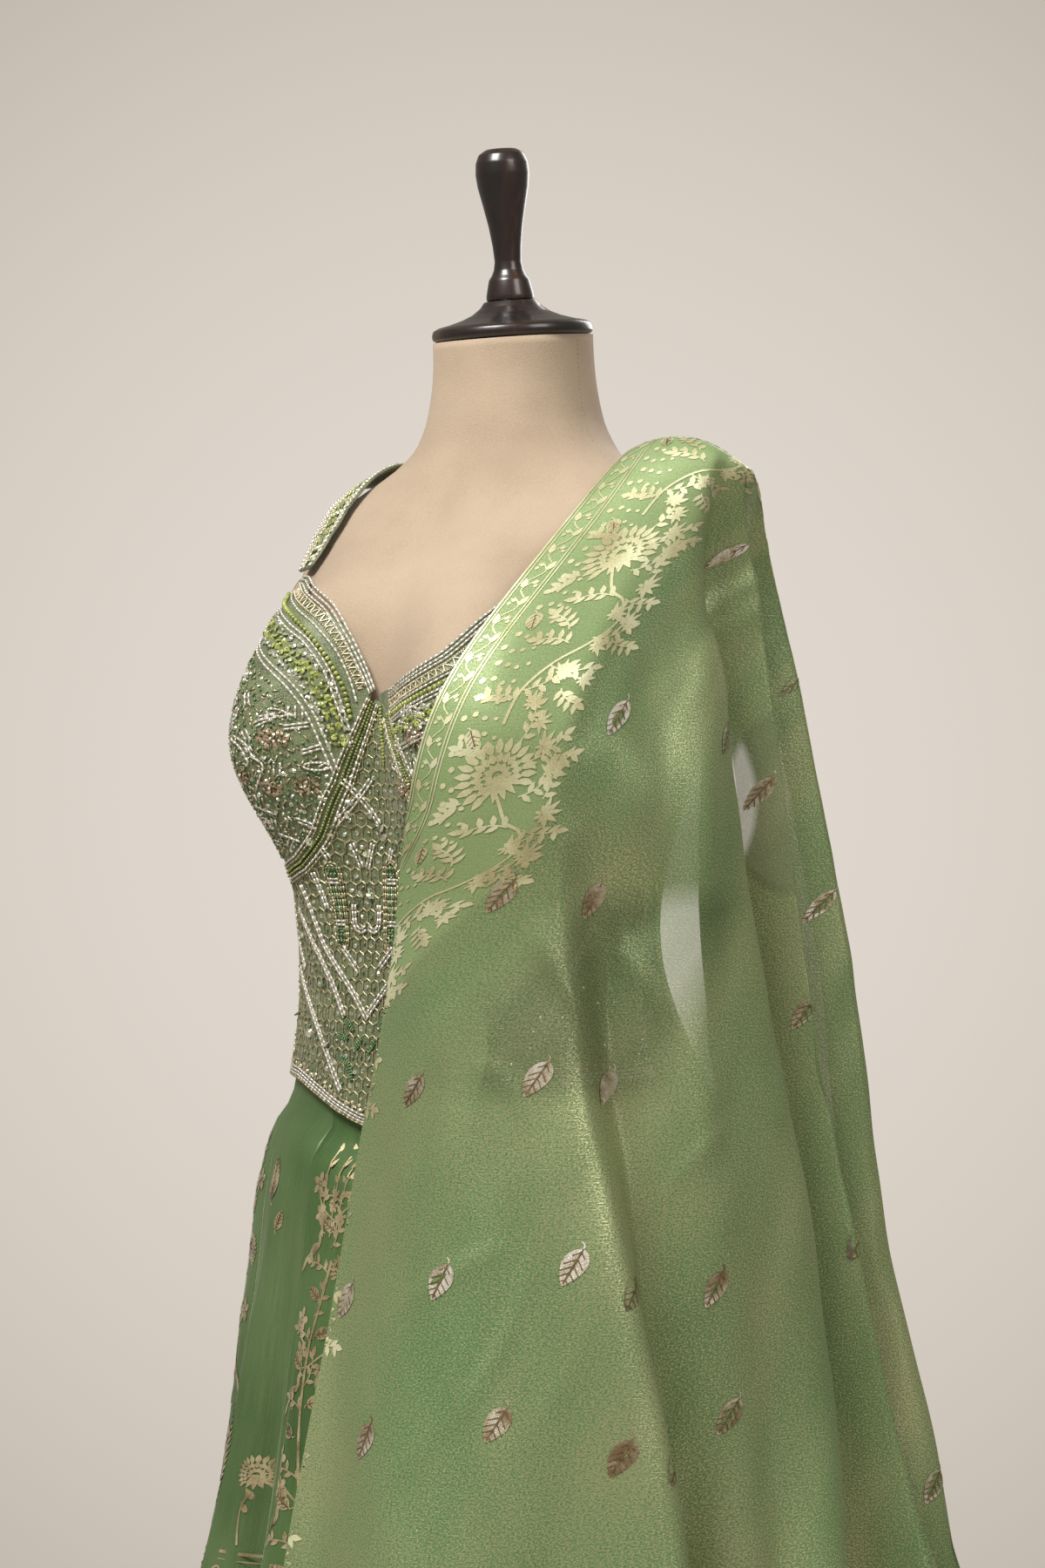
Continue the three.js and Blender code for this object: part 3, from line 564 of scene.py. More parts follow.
BEAD_FINISHES = [
    bead_finish("silver_bugle", (0.55, 0.52, 0.42), (0.95, 0.93, 0.84), 0.28, Metallic=0.5),
    bead_finish("lime_glass", (0.20, 0.25, 0.04), (0.50, 0.56, 0.16), 0.16, IOR=1.6, Coat_Weight=0.6),
    bead_finish("copper_sequin", (0.20, 0.13, 0.08), (0.62, 0.50, 0.34), 0.22, Metallic=0.6),
    bead_finish("cream_gold_bead", (0.45, 0.38, 0.24), (0.84, 0.76, 0.56), 0.3, Metallic=0.45),
    bead_finish("green_glass", (0.03, 0.10, 0.03), (0.16, 0.30, 0.12), 0.12, IOR=1.6, Coat_Weight=0.6),
    bead_finish("couched_gold_cord", (0.22, 0.20, 0.10), (0.60, 0.57, 0.37), 0.34, Metallic=0.6),
    bead_finish("clear_sequin", (0.42, 0.48, 0.30), (0.88, 0.90, 0.74), 0.16, Metallic=0.7),
    bead_finish("olive_seed_bead", (0.12, 0.15, 0.03), (0.36, 0.40, 0.13), 0.2, IOR=1.6)]


def spline_rows(rows, positions):
    """Catmull-Rom points through rows, whose first axis is the one that positions run along."""
    last = len(rows) - 1
    index = np.clip(np.floor(positions).astype(int), 0, last - 1)
    t = (positions - index).reshape(-1, *([1] * (rows.ndim - 1)))
    a, b, c, d = (rows[np.clip(index + step, 0, last)] for step in (-1, 0, 1, 2))
    return catmull_rom(a, b, c, d, t)


def on_blouse(degrees, z, lift):
    """Points and normals of the blouse's face, raised by lift."""
    turn = np.radians(degrees)
    points = form_point(turn, z, BLOUSE_FACE + lift)
    round_it = form_point(turn + 1e-3, z, BLOUSE_FACE) - form_point(turn - 1e-3, z, BLOUSE_FACE)
    up_it = form_point(turn, z + 0.1, BLOUSE_FACE) - form_point(turn, z - 0.1, BLOUSE_FACE)
    normals = np.cross(round_it, up_it)
    return points, normals / np.linalg.norm(normals, axis=1, keepdims=True)


def drawn(points, steps=10):
    """A smooth path through (degrees, height) points."""
    rows = np.array(points, dtype=float)
    path = spline_rows(rows, np.linspace(0, len(rows) - 1, steps * (len(rows) - 1) + 1))
    return path[:, 0], path[:, 1]


def beside(degrees, z, offset):
    """The same path, moved sideways by a distance over the cloth."""
    run, climb = np.gradient(degrees * ARC), np.gradient(z)
    length = np.maximum(np.hypot(run, climb), 1e-6)
    return degrees - climb / length * offset / ARC, z + run / length * offset


def edge_line(table, sign, start, end, offset, count=90):
    """A path along an edge of the blouse on one side, a distance above it, or below if negative."""
    degrees = np.linspace(start, end, count)
    z = edge_height(table, sign * degrees)
    degrees, z = beside(degrees, z, offset)
    return sign * degrees, z


def string(work, path, template, kind, length, thick, spacing, lift=None, wobble=0.0):
    """Strings beads of one kind end to end along a path."""
    degrees, z = (np.asarray(each, dtype=float) for each in path)
    points, _ = on_blouse(degrees, z, 0)
    run = np.concatenate([[0], np.cumsum(np.linalg.norm(np.diff(points, axis=0), axis=1))])
    if run[-1] < spacing * 0.5:
        return
    stops = np.arange(spacing / 2, run[-1], spacing)
    stops = stops if len(stops) else np.array([run[-1] / 2])
    degrees, z = np.interp(stops, run, degrees), np.interp(stops, run, z)
    swing = wobble * np.sin(stops * 2.9)
    z = z + swing
    raised = thick / 2 if lift is None else lift
    centres, normals = on_blouse(degrees, z, raised)
    ahead = np.stack([np.interp(stops, run, points[:, axis]) for axis in range(3)], axis=1)
    further = np.stack([np.interp(stops + 0.5, run, points[:, axis]) for axis in range(3)], axis=1)
    behind = np.stack([np.interp(stops - 0.5, run, points[:, axis]) for axis in range(3)], axis=1)
    work.lay(template, kind, centres + 0 * ahead, further - behind, normals, (length, thick, thick))


def bugles(work, path, kind=SILVER, thick=1.8):
    string(work, path, BUGLE, kind, 4.3, thick, 4.6)


def beads(work, path, kind=LIME, size=3.2, spacing=3.5):
    string(work, path, ROUND_BEAD, kind, size, size, spacing)


def double_line(work, points, kind=SILVER, apart=2.7):
    path = drawn(points)
    for offset in (-apart / 2, apart / 2):
        bugles(work, beside(*path, offset), kind)


def loose(work, template, kind, places, size, tilt=0.35, lift=0.8):
    """Single beads or sequins at (degrees, height), each tilted its own way."""
    places = np.array(places, dtype=float)
    centres, normals = on_blouse(places[:, 0], places[:, 1], lift)
    sway = places[:, 0] * 12.9 + places[:, 1] * 7.7
    tilted = normals + tilt * np.stack([np.sin(sway), np.cos(sway * 1.3), np.sin(sway * 1.7)], axis=1)
    tilted /= np.linalg.norm(tilted, axis=1, keepdims=True)
    along = np.cross(tilted, np.stack([np.cos(sway), np.sin(sway), np.cos(sway * 2.1)], axis=1))
    work.lay(template, kind, centres, along, tilted, size)


def sequin_flower(work, degrees, z, size=13, kind=COPPER):
    """Two rounds of cupped sequins about a bead."""
    for count, radius, width in ((8, 0.37, 0.36), (5, 0.17, 0.30)):
        turn = np.arange(count) * 2 * math.pi / count + radius * 9
        ring = np.stack([degrees + size * radius * np.cos(turn) / ARC,
                         z + size * radius * np.sin(turn)], axis=1)
        loose(work, SEQUIN, kind, ring, (size * width, size * width, size * width * 1.2), 0.45, 1.6)
    loose(work, ROUND_BEAD, SILVER, [(degrees, z)], (2.4, 2.4, 2.4), 0, 2.6)


# The neckline: three silver lines on the very edge and a band of cream loops inside them, from the
# point between the cups up to the strap. Paths are drawn for the right cup, where the edge climbs
# steeply from the point; the left cup follows its own lower edge.
NECK_PATHS = {
    "edge": [(-1, 1289), (-4, 1301), (-7.9, 1315.6), (-12, 1330), (-17.1, 1343.7), (-22, 1352.5),
             (-30.4, 1361.9), (-38, 1368.5), (-46, 1370)],
    "loops": [(-4.8, 1291.6), (-8.4, 1307.2), (-12.1, 1322.9), (-18.1, 1338.5), (-25, 1349),
              (-32.4, 1357), (-40, 1363), (-50, 1366.5)],
    "loop_line": [(-6.1, 1282.1), (-8.9, 1300), (-13.6, 1319.3), (-20.3, 1335.7), (-27, 1345.5),
                  (-33.7, 1353), (-42, 1359.5), (-53, 1364)],
    "beads": [(-7.2, 1270.1), (-9.3, 1289.3), (-12.2, 1303.7), (-16, 1317.6), (-21.1, 1331),
              (-27, 1341), (-33.4, 1348), (-43, 1355), (-56, 1361)],
    "bead_line": [(-8, 1262), (-10.6, 1282.1), (-14.3, 1304.5), (-20.1, 1323.5), (-27, 1335),
                  (-34.1, 1343), (-44, 1350), (-58, 1357)],
    "clusters": [(-9.4, 1252), (-11.4, 1270.2), (-13.6, 1285), (-17, 1300), (-22.3, 1314), (-30.5, 1329),
                 (-40, 1339), (-52, 1346), (-62, 1350)],
    "inner_line": [(-11, 1234.4), (-13.9, 1259.4), (-17, 1279), (-22.4, 1298), (-31.7, 1316),
                   (-42, 1328), (-54, 1335), (-66, 1336)]}
LEFT_OFFSETS = {"edge": -3.2, "loops": -10.6, "loop_line": -15.0, "beads": -18.6, "bead_line": -22.4,
                "clusters": -33.0, "inner_line": -44.6}


def neck_path(side, name, offset=0.0):
    if side == "right":
        return beside(*drawn(NECK_PATHS[name], 12), -offset)
    return edge_line(BLOUSE_TOP, 1, 7 - 0.06 * LEFT_OFFSETS[name], 46 - 0.22 * LEFT_OFFSETS[name],
                     LEFT_OFFSETS[name] + offset)


for side in SIDES:
    neck = Studs()
    for offset in (-2.4, 0, 2.4):
        bugles(neck, neck_path(side, "edge", offset))
    for offset in (-2.3, 2.3):
        beads(neck, neck_path(side, "loops", offset), CREAM, 1.7, 1.9)
    degrees, z = neck_path(side, "loops")
    finer = np.linspace(0, len(degrees) - 1, 520)
    degrees, z = (np.interp(finer, np.arange(len(each)), each) for each in (degrees, z))
    ripple = np.sin(np.linspace(0, 46 * math.pi, 520)) * 2.0
    string(neck, beside(degrees, z, ripple), CORD, CREAM, 1.3, 1.2, 0.9)
    neck_piece = neck.make(f"neck_beading_{side}", BEAD_FINISHES, "bead_band")
    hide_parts(f"blouse_neck_band_{side}")

# The bands under the cups: silver, lime and silver again over the seam.
for side, sign in SIDES.items():
    band = Studs()
    band_start = 0.5 if side == "right" else 7
    for offset, kind in ((-6.6, CORD_GOLD), (-4.4, SILVER), (3.4, CORD_GOLD), (5.4, SILVER)):
        bugles(band, edge_line(CUP_SEAM, sign, band_start, 89.5, offset, 160), kind, 1.7)
    beads(band, edge_line(CUP_SEAM, sign, band_start, 89.5, -1.9, 160), OLIVE, 2.1, 2.3)
    beads(band, edge_line(CUP_SEAM, sign, band_start, 89.5, 0.6, 160), OLIVE, 2.1, 2.3)
    band_piece = band.make(f"cup_beading_{side}", BEAD_FINISHES, "bead_band")
    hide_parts(f"blouse_cup_band_{side}")

# The hem: three silver lines with a row of small sequin loops above.
hem_turn = np.linspace(-180, 180, 721)
hem = Studs()
for offset, kind in ((1.2, CORD_GOLD), (3.0, SILVER), (5.2, SILVER), (7.6, SILVER)):
    bugles(hem, (hem_turn, hem_line(hem_turn) + offset), kind, 1.7)
loop_turn = np.arange(-180, 180, 3.1)
for rise, size in ((10.4, 3.4), (13.2, 2.6)):
    loose(hem, SEQUIN, CREAM, np.stack([loop_turn, hem_line(loop_turn) + rise], axis=1),
          (size, size, size), 0.5, 1.0)
loose(hem, ROUND_BEAD, CORD_GOLD, np.stack([loop_turn + 1.5, hem_line(loop_turn + 1.5) + 10.6], axis=1),
      (1.5, 4.2, 1.5), 0.0, 0.9)
hem_piece = hem.make("hem_beading", BEAD_FINISHES, "bead_band")
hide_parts("blouse_hem_band")

# The cups: a row of lime beads between silver lines, a band of lime sequins, a double line that curves
# down the cup, and below it strokes, ovals and flowers.
CUP_STROKES = [
    [(-17.6, 1280), (-17.2, 1269)], [(-18.9, 1280), (-18.5, 1269)], [(-20.2, 1279.6), (-19.8, 1269)],
    [(-20.6, 1266), (-16.0, 1268)], [(-20.6, 1263.4), (-16.0, 1265.4)], [(-17.4, 1249), (-13.6, 1253)],
    [(-17.4, 1246.4), (-13.6, 1250.4)], [(-33.8, 1211.5), (-26.5, 1204.4)],
    [(-22.2, 1200), (-19.0, 1196)], [(-22.2, 1202.6), (-19.0, 1198.6)], [(-37, 1263), (-33, 1268)],
    [(-37, 1266), (-33, 1271)], [(-44, 1290), (-36, 1301)], [(-45, 1287), (-37, 1298)],
    [(-52, 1250), (-45, 1244)], [(-52, 1253), (-45, 1247)], [(-58, 1290), (-55, 1278)],
    [(-60, 1290), (-57, 1278)], [(-40, 1224), (-37, 1212)], [(-42, 1224), (-39, 1212)],
    [(-60, 1240), (-52, 1228)], [(-30, 1192), (-24, 1186)], [(-46, 1206), (-40, 1196)],
    [(-66, 1300), (-63, 1286)], [(-70, 1262), (-64, 1256)], [(-70, 1265), (-64, 1259)],
    [(-74, 1226), (-66, 1214)], [(-78, 1250), (-76, 1236)], [(-80, 1284), (-74, 1274)],
    [(-58, 1206), (-50, 1198)], [(-82, 1214), (-76, 1206)], [(-29, 1222), (-25, 1238), (-28, 1246)],
    [(-32.5, 1259.7), (-28.3, 1253.6), (-26.6, 1242.8)], [(-34, 1257.5), (-30, 1251.4), (-28.2, 1241)]]
CUP_OVALS = [(-22.2, 1275, 4.4, 2.2, -0.4), (-14.7, 1238, 5.6, 2.6, 0.0), (-36, 1282, 5.0, 2.4, 0.7),
             (-48, 1268, 5.4, 2.4, -0.6), (-33, 1198, 5.0, 2.2, 0.4), (-62, 1222, 5.6, 2.4, 0.5),
             (-54, 1302, 4.6, 2.2, 0.9), (-72, 1242, 5.0, 2.4, -0.8)]
CUP_FLOWERS = [(-22.4, 1257, 15), (-24.8, 1223, 12), (-17.4, 1224, 13), (-32, 1232, 12), (-41, 1252, 13),
               (-50, 1218, 13), (-46, 1320, 11), (-64, 1240, 12), (-62, 1272, 11), (-78, 1226, 11)]
for side, sign in SIDES.items():
    cup = Studs()
    for name, offset in (("loop_line", 0), ("bead_line", 1.2), ("bead_line", -1.4)):
        bugles(cup, neck_path(side, name, offset))
    beads(cup, neck_path(side, "beads"), LIME, 3.7, 4.0)
    for row, offset in enumerate((5.4, 1.8, -2.0, -5.6)):
        degrees, z = neck_path(side, "clusters", offset)
        pick = np.linspace(0, len(degrees) - 1, 40)
        degrees, z = (np.interp(pick, np.arange(len(each)), each) for each in (degrees, z))
        places = np.stack([degrees, z + 1.2 * np.sin(np.arange(40) * 2.3 + row)], axis=1)
        rim = row in (0, 3)
        loose(cup, SEQUIN, CLEAR if rim else LIME, places, (4.6, 4.6, 5.2), 0.7, 1.5)
        loose(cup, ROUND_BEAD, SILVER if rim else LIME, places[row % 2::2] + (0.6, 1.5),
              (2.3, 2.3, 2.3), 0, 2.0)
    for offset in (-1.4, 1.4):
        bugles(cup, neck_path(side, "inner_line", offset))
    for offset in (-2.6, -5.2):
        bugles(cup, edge_line(BLOUSE_TOP, sign, 60, 89, offset, 60))
    for stroke in CUP_STROKES:
        bugles(cup, drawn([(-sign * turn, height) for turn, height in stroke], 6), thick=1.7)
    for turn, height, long, wide, lean in CUP_OVALS:
        round_turn = np.linspace(0, 2 * math.pi, 37)
        oval_x, oval_z = long * np.cos(round_turn), wide * np.sin(round_turn)
        string(cup, (-sign * turn + (oval_x * math.cos(lean) - oval_z * math.sin(lean)) / ARC,
                     height + oval_x * math.sin(lean) + oval_z * math.cos(lean)),
               BUGLE, SILVER, 2.6, 1.6, 2.8)
    for turn, height, size in CUP_FLOWERS:
        sequin_flower(cup, -sign * turn, height, size)
    for step in range(150):
        turn, height = -86 + (step % 15) * 5.2 + 1.3 * math.sin(step * 4.1), 1182 + (step // 15) * 15.5
        height = height + 3.5 * math.sin(step * 2.7) + 7 * (step % 2)
        lean = 1.1 * math.sin(step * 1.7) + 0.9
        reach = 3.4 + 0.9 * math.sin(step * 5.3)
        near_flower = min(math.hypot((turn - x) * ARC, height - z) - 0.6 * size for x, z, size in CUP_FLOWERS)
        floor_z = edge_height(CUP_SEAM, -sign * turn) + 14
        roof_z = np.interp(-turn, -np.array(NECK_PATHS["inner_line"])[:, 0],
                           np.array(NECK_PATHS["inner_line"])[:, 1]) - 9
        if near_flower < 3 or height < floor_z or height > roof_z or turn > -13:
            continue
        for offset in (-1.3, 1.3):
            run = np.linspace(-reach, reach, 8)
            bugles(cup, (-sign * (turn + (run * math.cos(lean) - offset * math.sin(lean)) / ARC),
                         height + run * math.sin(lean) + offset * math.cos(lean)), thick=1.5)
    filling = [(-sign * turn, height) for turn in np.arange(-87, -11, 1.55)
               for height in np.arange(1176, 1336, 3.5)]
    filling = np.array([(turn + 0.8 * math.sin(height * 3.1 + turn), height + 1.3 * math.sin(turn * 5.7))
                        for turn, height in filling])
    above_seam = edge_height(CUP_SEAM, filling[:, 0]) + 9
    degrees, z = neck_path(side, "inner_line", -5)
    turns = np.abs(filling[:, 0])
    rising = np.argsort(np.abs(degrees))
    below_band = np.interp(turns, np.abs(degrees)[rising], z[rising], left=1200)
    below_band = np.where(turns > 62, edge_height(BLOUSE_TOP, filling[:, 0]) - 10, below_band)
    filling = filling[(filling[:, 1] > above_seam) & (filling[:, 1] < below_band)]
    pick = (np.arange(len(filling)) * 7) % 11
    loose(cup, SEQUIN, CLEAR, filling[pick < 3], (3.2, 3.2, 3.4), 0.7, 0.9)
    loose(cup, ROUND_BEAD, GREEN_GLASS, filling[(pick > 2) & (pick < 6)], (2.9, 2.1, 1.9), 0.2, 0.8)
    loose(cup, ROUND_BEAD, CREAM, filling[pick == 6], (2.2, 1.8, 1.7), 0.2, 0.7)
    loose(cup, ROUND_BEAD, CORD_GOLD, filling[pick == 7], (3.4, 1.6, 1.5), 0.2, 0.7)
    loose(cup, BUGLE, CORD_GOLD, filling[pick > 7], (4.8, 1.3, 1.2), 0.2, 0.6)
    cup.make(f"cup_embroidery_{side}", BEAD_FINISHES, "bead_band")

# The body: a honeycomb of couched cord over front and back, its cells filled with sequins and beads.
CELL_WIDE = 8.4
CELL_TALL = 9.6
honeycomb = Studs()
edge_starts, edge_ends, cell_places = [], [], []
for row in range(-1, 40):
    for column in range(-48, 49):
        middle_x = (column + 0.5 * (row % 2)) * CELL_WIDE + 0.5 * math.sin(row * 1.9)
        middle_z = 1000 + row * CELL_TALL + 0.5 * math.sin(column * 2.7)
        if abs(middle_x) > 180 * ARC - 3:
            continue
        corners = [(middle_x, middle_z + CELL_TALL * 0.62),
                   (middle_x + CELL_WIDE / 2, middle_z + CELL_TALL * 0.36),
                   (middle_x + CELL_WIDE / 2, middle_z - CELL_TALL * 0.36),
                   (middle_x, middle_z - CELL_TALL * 0.62)]
        edge_starts.extend(corners[:3])
        edge_ends.extend(corners[1:])
        cell_places.append((middle_x / ARC, middle_z))


def on_body(places, margin):
    """True where a place on the blouse is below the cups in front, or on the back panels."""
    top = np.where(np.abs(places[:, 0]) < 90, edge_height(CUP_SEAM, places[:, 0]) - 9,
                   edge_height(BLOUSE_TOP, places[:, 0]) - 7)
    return (places[:, 1] < top - margin) & (places[:, 1] > hem_line(places[:, 0]) + 15 + margin)


edge_starts, edge_ends = np.array(edge_starts) / (ARC, 1), np.array(edge_ends) / (ARC, 1)
middles = (edge_starts + edge_ends) / 2
kept = on_body(middles, 0)
cord_centres, cord_normals = on_blouse(middles[kept, 0], middles[kept, 1], 0.35)
cord_runs = (on_blouse(edge_ends[kept, 0], edge_ends[kept, 1], 0.35)[0]
             - on_blouse(edge_starts[kept, 0], edge_starts[kept, 1], 0.35)[0])
cord_sizes = np.stack([np.linalg.norm(cord_runs, axis=1) * 1.08, np.full(kept.sum(), 1.5),
                       np.full(kept.sum(), 1.2)], axis=1)
honeycomb.lay(CORD, CORD_GOLD, cord_centres, cord_runs, cord_normals, cord_sizes)
cell_places = np.array(cell_places)
cell_places = cell_places[on_body(cell_places, 2)]
pick = (np.arange(len(cell_places)) * 5 + np.arange(len(cell_places)) // 7) % 9
loose(honeycomb, SEQUIN, CLEAR, cell_places[pick < 4], (3.6, 3.6, 3.4), 0.55, 0.5)
loose(honeycomb, SEQUIN, CREAM, cell_places[pick == 4], (4.2, 4.2, 3.8), 0.6, 0.6)
loose(honeycomb, ROUND_BEAD, GREEN_GLASS, cell_places[pick > 6], (2.4, 2.4, 2.0), 0.1, 0.9)
loose(honeycomb, ROUND_BEAD, CORD_GOLD, cell_places[pick == 5] + (0.8, 1.0), (1.6, 3.4, 1.5), 0.1, 0.7)
honeycomb.make("body_honeycomb", BEAD_FINISHES, "bead_band")

# Over it on the front: long double diagonals, chevrons, two capsules of green glass and a leaf spray,
# the same on both sides of the boned centre line. Over the back: the same diagonals and a laced line.
BODY_LINES = [
    [(-33.1, 1156), (-28.2, 1117), (-12.8, 1083), (-5.4, 1066)],
    [(-42.9, 1139), (-34.7, 1115.5), (-24.7, 1090), (-17.1, 1067)],
    [(-52.2, 1097), (-34.2, 1061), (-16.4, 1016)], [(-24.7, 1165), (-22.8, 1140)],
    [(-17.8, 1113.6), (-10.4, 1098.4)],
    [(-13.3, 1198), (-0.9, 1229)], [(-18.8, 1181.6), (-17.2, 1173.2)], [(-9.5, 1185.3), (-6.5, 1167.4)],
    [(-60, 1150), (-52, 1118), (-44, 1096)], [(-76, 1150), (-68, 1112), (-60, 1076)],
    [(-88, 1130), (-78, 1086), (-70, 1046)],
    [(-11.2, 1143.3), (-11.0, 1129.5), (-8.6, 1125.4), (-5.5, 1128)], [(-62, 1050), (-56, 1034)]]
BACK_LINES = [[(98, 1270), (112, 1200), (124, 1140)], [(98, 1180), (112, 1110), (126, 1040)],
              [(126, 1300), (140, 1230), (154, 1160)], [(126, 1200), (142, 1120), (158, 1046)],
              [(152, 1300), (164, 1240), (174, 1190)], [(170, 1120), (176, 1080)]]
figures = Studs()
for mirrored in (False, True):
    def turned_side(turn):
        return -11 - turn if mirrored else turn

    for line in BODY_LINES:
        double_line(figures, [(turned_side(turn), height) for turn, height in line])
    capsule = []
    for step in range(49):
        turn = step / 48 * 2 * math.pi
        capsule.append((-17.6 + 6.6 / ARC * math.cos(turn),
                        1141.5 + (22 if math.sin(turn) > 0 else -22) + 8.5 * math.sin(turn)))
    capsule = [(turned_side(turn), height) for turn, height in capsule]
    for offset in (0, 2.0):
        bugles(figures, beside(*(np.array(column) for column in zip(*capsule)), offset), CORD_GOLD, 1.6)
    for height in (1129, 1131.6, 1158, 1160.6):
        bugles(figures, (turned_side(-17.6) + np.linspace(-5.2, 5.2, 12) / ARC, np.full(12, float(height))))
    for step in range(5):
        offset = (step - 2) * 2.1 / ARC
        bugles(figures, (np.full(20, turned_side(-17.6) + offset), np.linspace(1133, 1156, 20)),
               GREEN_GLASS if step % 2 else CORD_GOLD, 1.4)
    for height in (1118, 1122, 1126, 1164, 1168):
        beads(figures, (turned_side(-17.6) + np.linspace(-4.6, 4.6, 8) / ARC, np.full(8, float(height))),
              GREEN_GLASS, 2.6, 2.8)
    for turn, height, lean in ((-13.7, 1060, 2.5), (-17.0, 1052, 2.9), (-9.0, 1047, 0.9), (-15.4, 1036, 2.7),
                               (-11.8, 1028, 1.9)):
        for rib in (-1.6, 0, 1.6):
            reach = np.linspace(-6.5, 6.5, 14)
            swell = rib * np.cos(reach / 6.5 * 1.4)
            beads(figures, (turned_side(turn) + (reach * math.cos(lean) - swell * math.sin(lean)) / ARC,
                            height + reach * math.sin(lean) + swell * math.cos(lean)), GREEN_GLASS, 2.0, 2.0)
    loose(figures, SEQUIN, CLEAR, [(turned_side(turn), height) for turn, height in (
        (-2, 1205), (3, 1196), (-4, 1178), (-8, 1214), (-15, 1190), (-21, 1186), (-30, 1088), (-38, 1052),
        (-26, 1046), (-21, 1034), (-46, 1120), (-8, 1150), (-54, 1064))], (6.2, 6.2, 6.0), 0.7, 1.8)
    side_line = np.linspace(1030, 1158, 40)
    for offset in (-1.4, 1.4):
        beads(figures, (np.full(40, (90.0 if mirrored else -90.0)) + offset / ARC, side_line),
              CORD_GOLD, 2.0, 2.4)
for sign in (-1, 1):
    for line in BACK_LINES:
        double_line(figures, [(sign * turn, height) for turn, height in line])
    for offset in (-1.6, -5.0):
        bugles(figures, edge_line(BLOUSE_TOP, sign, 62, 178, offset, 260))
    beads(figures, edge_line(BLOUSE_TOP, sign, 62, 178, -3.4, 260), LIME, 2.0, 2.3)
    for offset in (4.0, 7.0):
        bugles(figures, (np.full(60, sign * (180 - offset / ARC)), np.linspace(1034, 1316, 60)), CORD_GOLD)
for offset in (-2.4, 0, 2.4):
    beads(figures, (np.linspace(3, 6, 20), np.linspace(1278 + offset, 1240 + offset, 20)), LIME, 2.2, 2.4)
figures.make("body_embroidery", BEAD_FINISHES, "bead_band")

# The straps: silver along both edges, cream loops between, and a few lime sequins.
for side, sign in SIDES.items():
    straps = Studs()
    run = np.linspace(0.02, 0.98, 70)

    def on_strap(across, along, lift):
        step = 0.004
        points = strap_point(sign, across, along, BLOUSE_FACE + lift)
        ahead = strap_point(sign, across, along + step, 0) - strap_point(sign, across, along - step, 0)
        aside = strap_point(sign, across + step, along, 0) - strap_point(sign, across - step, along, 0)
        normals = np.cross(aside, ahead)
        return points, ahead, normals / np.linalg.norm(normals, axis=1, keepdims=True)

    for across in (0.04, 0.13, 0.38, 0.87, 0.96):
        points, ahead, normals = on_strap(np.full(70, across), run, 0.8)
        straps.lay(BUGLE, SILVER, points, ahead, normals, (3.6, 1.6, 1.6))
    for across in (0.22, 0.30):
        points, ahead, normals = on_strap(np.full(140, across), np.linspace(0.02, 0.98, 140), 0.8)
        straps.lay(ROUND_BEAD, CREAM, points, ahead, normals, (1.7, 1.7, 1.6))
    for across, kind in ((0.50, LIME), (0.62, CLEAR), (0.74, LIME)):
        points, ahead, normals = on_strap(np.full(64, across), np.linspace(0.03, 0.97, 64), 1.2)
        tilt = np.stack([np.sin(np.arange(64) * 2.3), np.cos(np.arange(64) * 3.1), 0 * np.arange(64)], axis=1)
        straps.lay(SEQUIN, kind, points, ahead, normals + 0.5 * tilt, (4.0, 4.0, 4.4))
    straps.make(f"strap_beading_{side}", BEAD_FINISHES, "bead_band")

# ---- Lehenga --------------------------------------------------------------------------------------
# The skirt has fourteen kalis, brocade and plain in turn, in green satin lined with cotton. They are cut
# wider toward the hem and seamed from the waistband down, so that each stands out in a soft fold. Rows:
# height, half width, depth to the front and to the back, place of the centre, and depth of the folds.
SKIRT_SECTIONS = np.array([
    (12, 320, 320, 345, 0, 34), (400, 240, 232, 262, 0, 24), (670, 188, 172, 208, -4, 14),
    (848, 166, 142, 162, -4, 8), (941, 157, 130, 134, -4, 3), (978, 148, 122, 118, -5, 1),
    (1020, 130, 104, 98, -6, 0)], dtype=float)
PANEL_COUNT = 14
PANEL_ANGLE = 2 * math.pi / PANEL_COUNT
FIRST_SEAM = math.radians(-21)
SKIRT_HEM = 12
SKIRT_TOP = 1039.8
SKIRT_FACE = 1.6
FLARE_START = 9
FLARE_BLEND = 26
# Soft creases of the satin: angle from centre front, height of the top and of the bottom, how far the
# lower end drifts round, half width and depth, in degrees and millimetres.
SKIRT_CREASES = [
    (-26.5, 985, 30, 1, 6, -30), (-14, 960, 30, 3, 7, 7), (-36, 960, 30, -1, 7, 10),
    (-58, 930, 40, -3, 9, -15), (-44, 900, 30, 2, 7, 9), (-33, 960, 420, -3, 6, -11), (-71, 800, 20, 3, 8, 8),
    (-96, 950, 200, -2, 9, -12), (-118, 880, 30, 4, 11, 10), (-141, 970, 320, 2, 8, -11),
    (-163, 860, 20, -3, 10, 9), (172, 940, 160, 3, 8, -10), (148, 900, 30, -2, 11, 11),
    (121, 960, 300, 2, 8, -9), (97, 880, 40, -4, 9, 10), (66, 930, 120, 3, 8, -12), (41, 860, 20, -2, 10, 9),
    (12, 900, 60, 3, 9, -9), (-12, 840, 20, -2, 8, 8)]


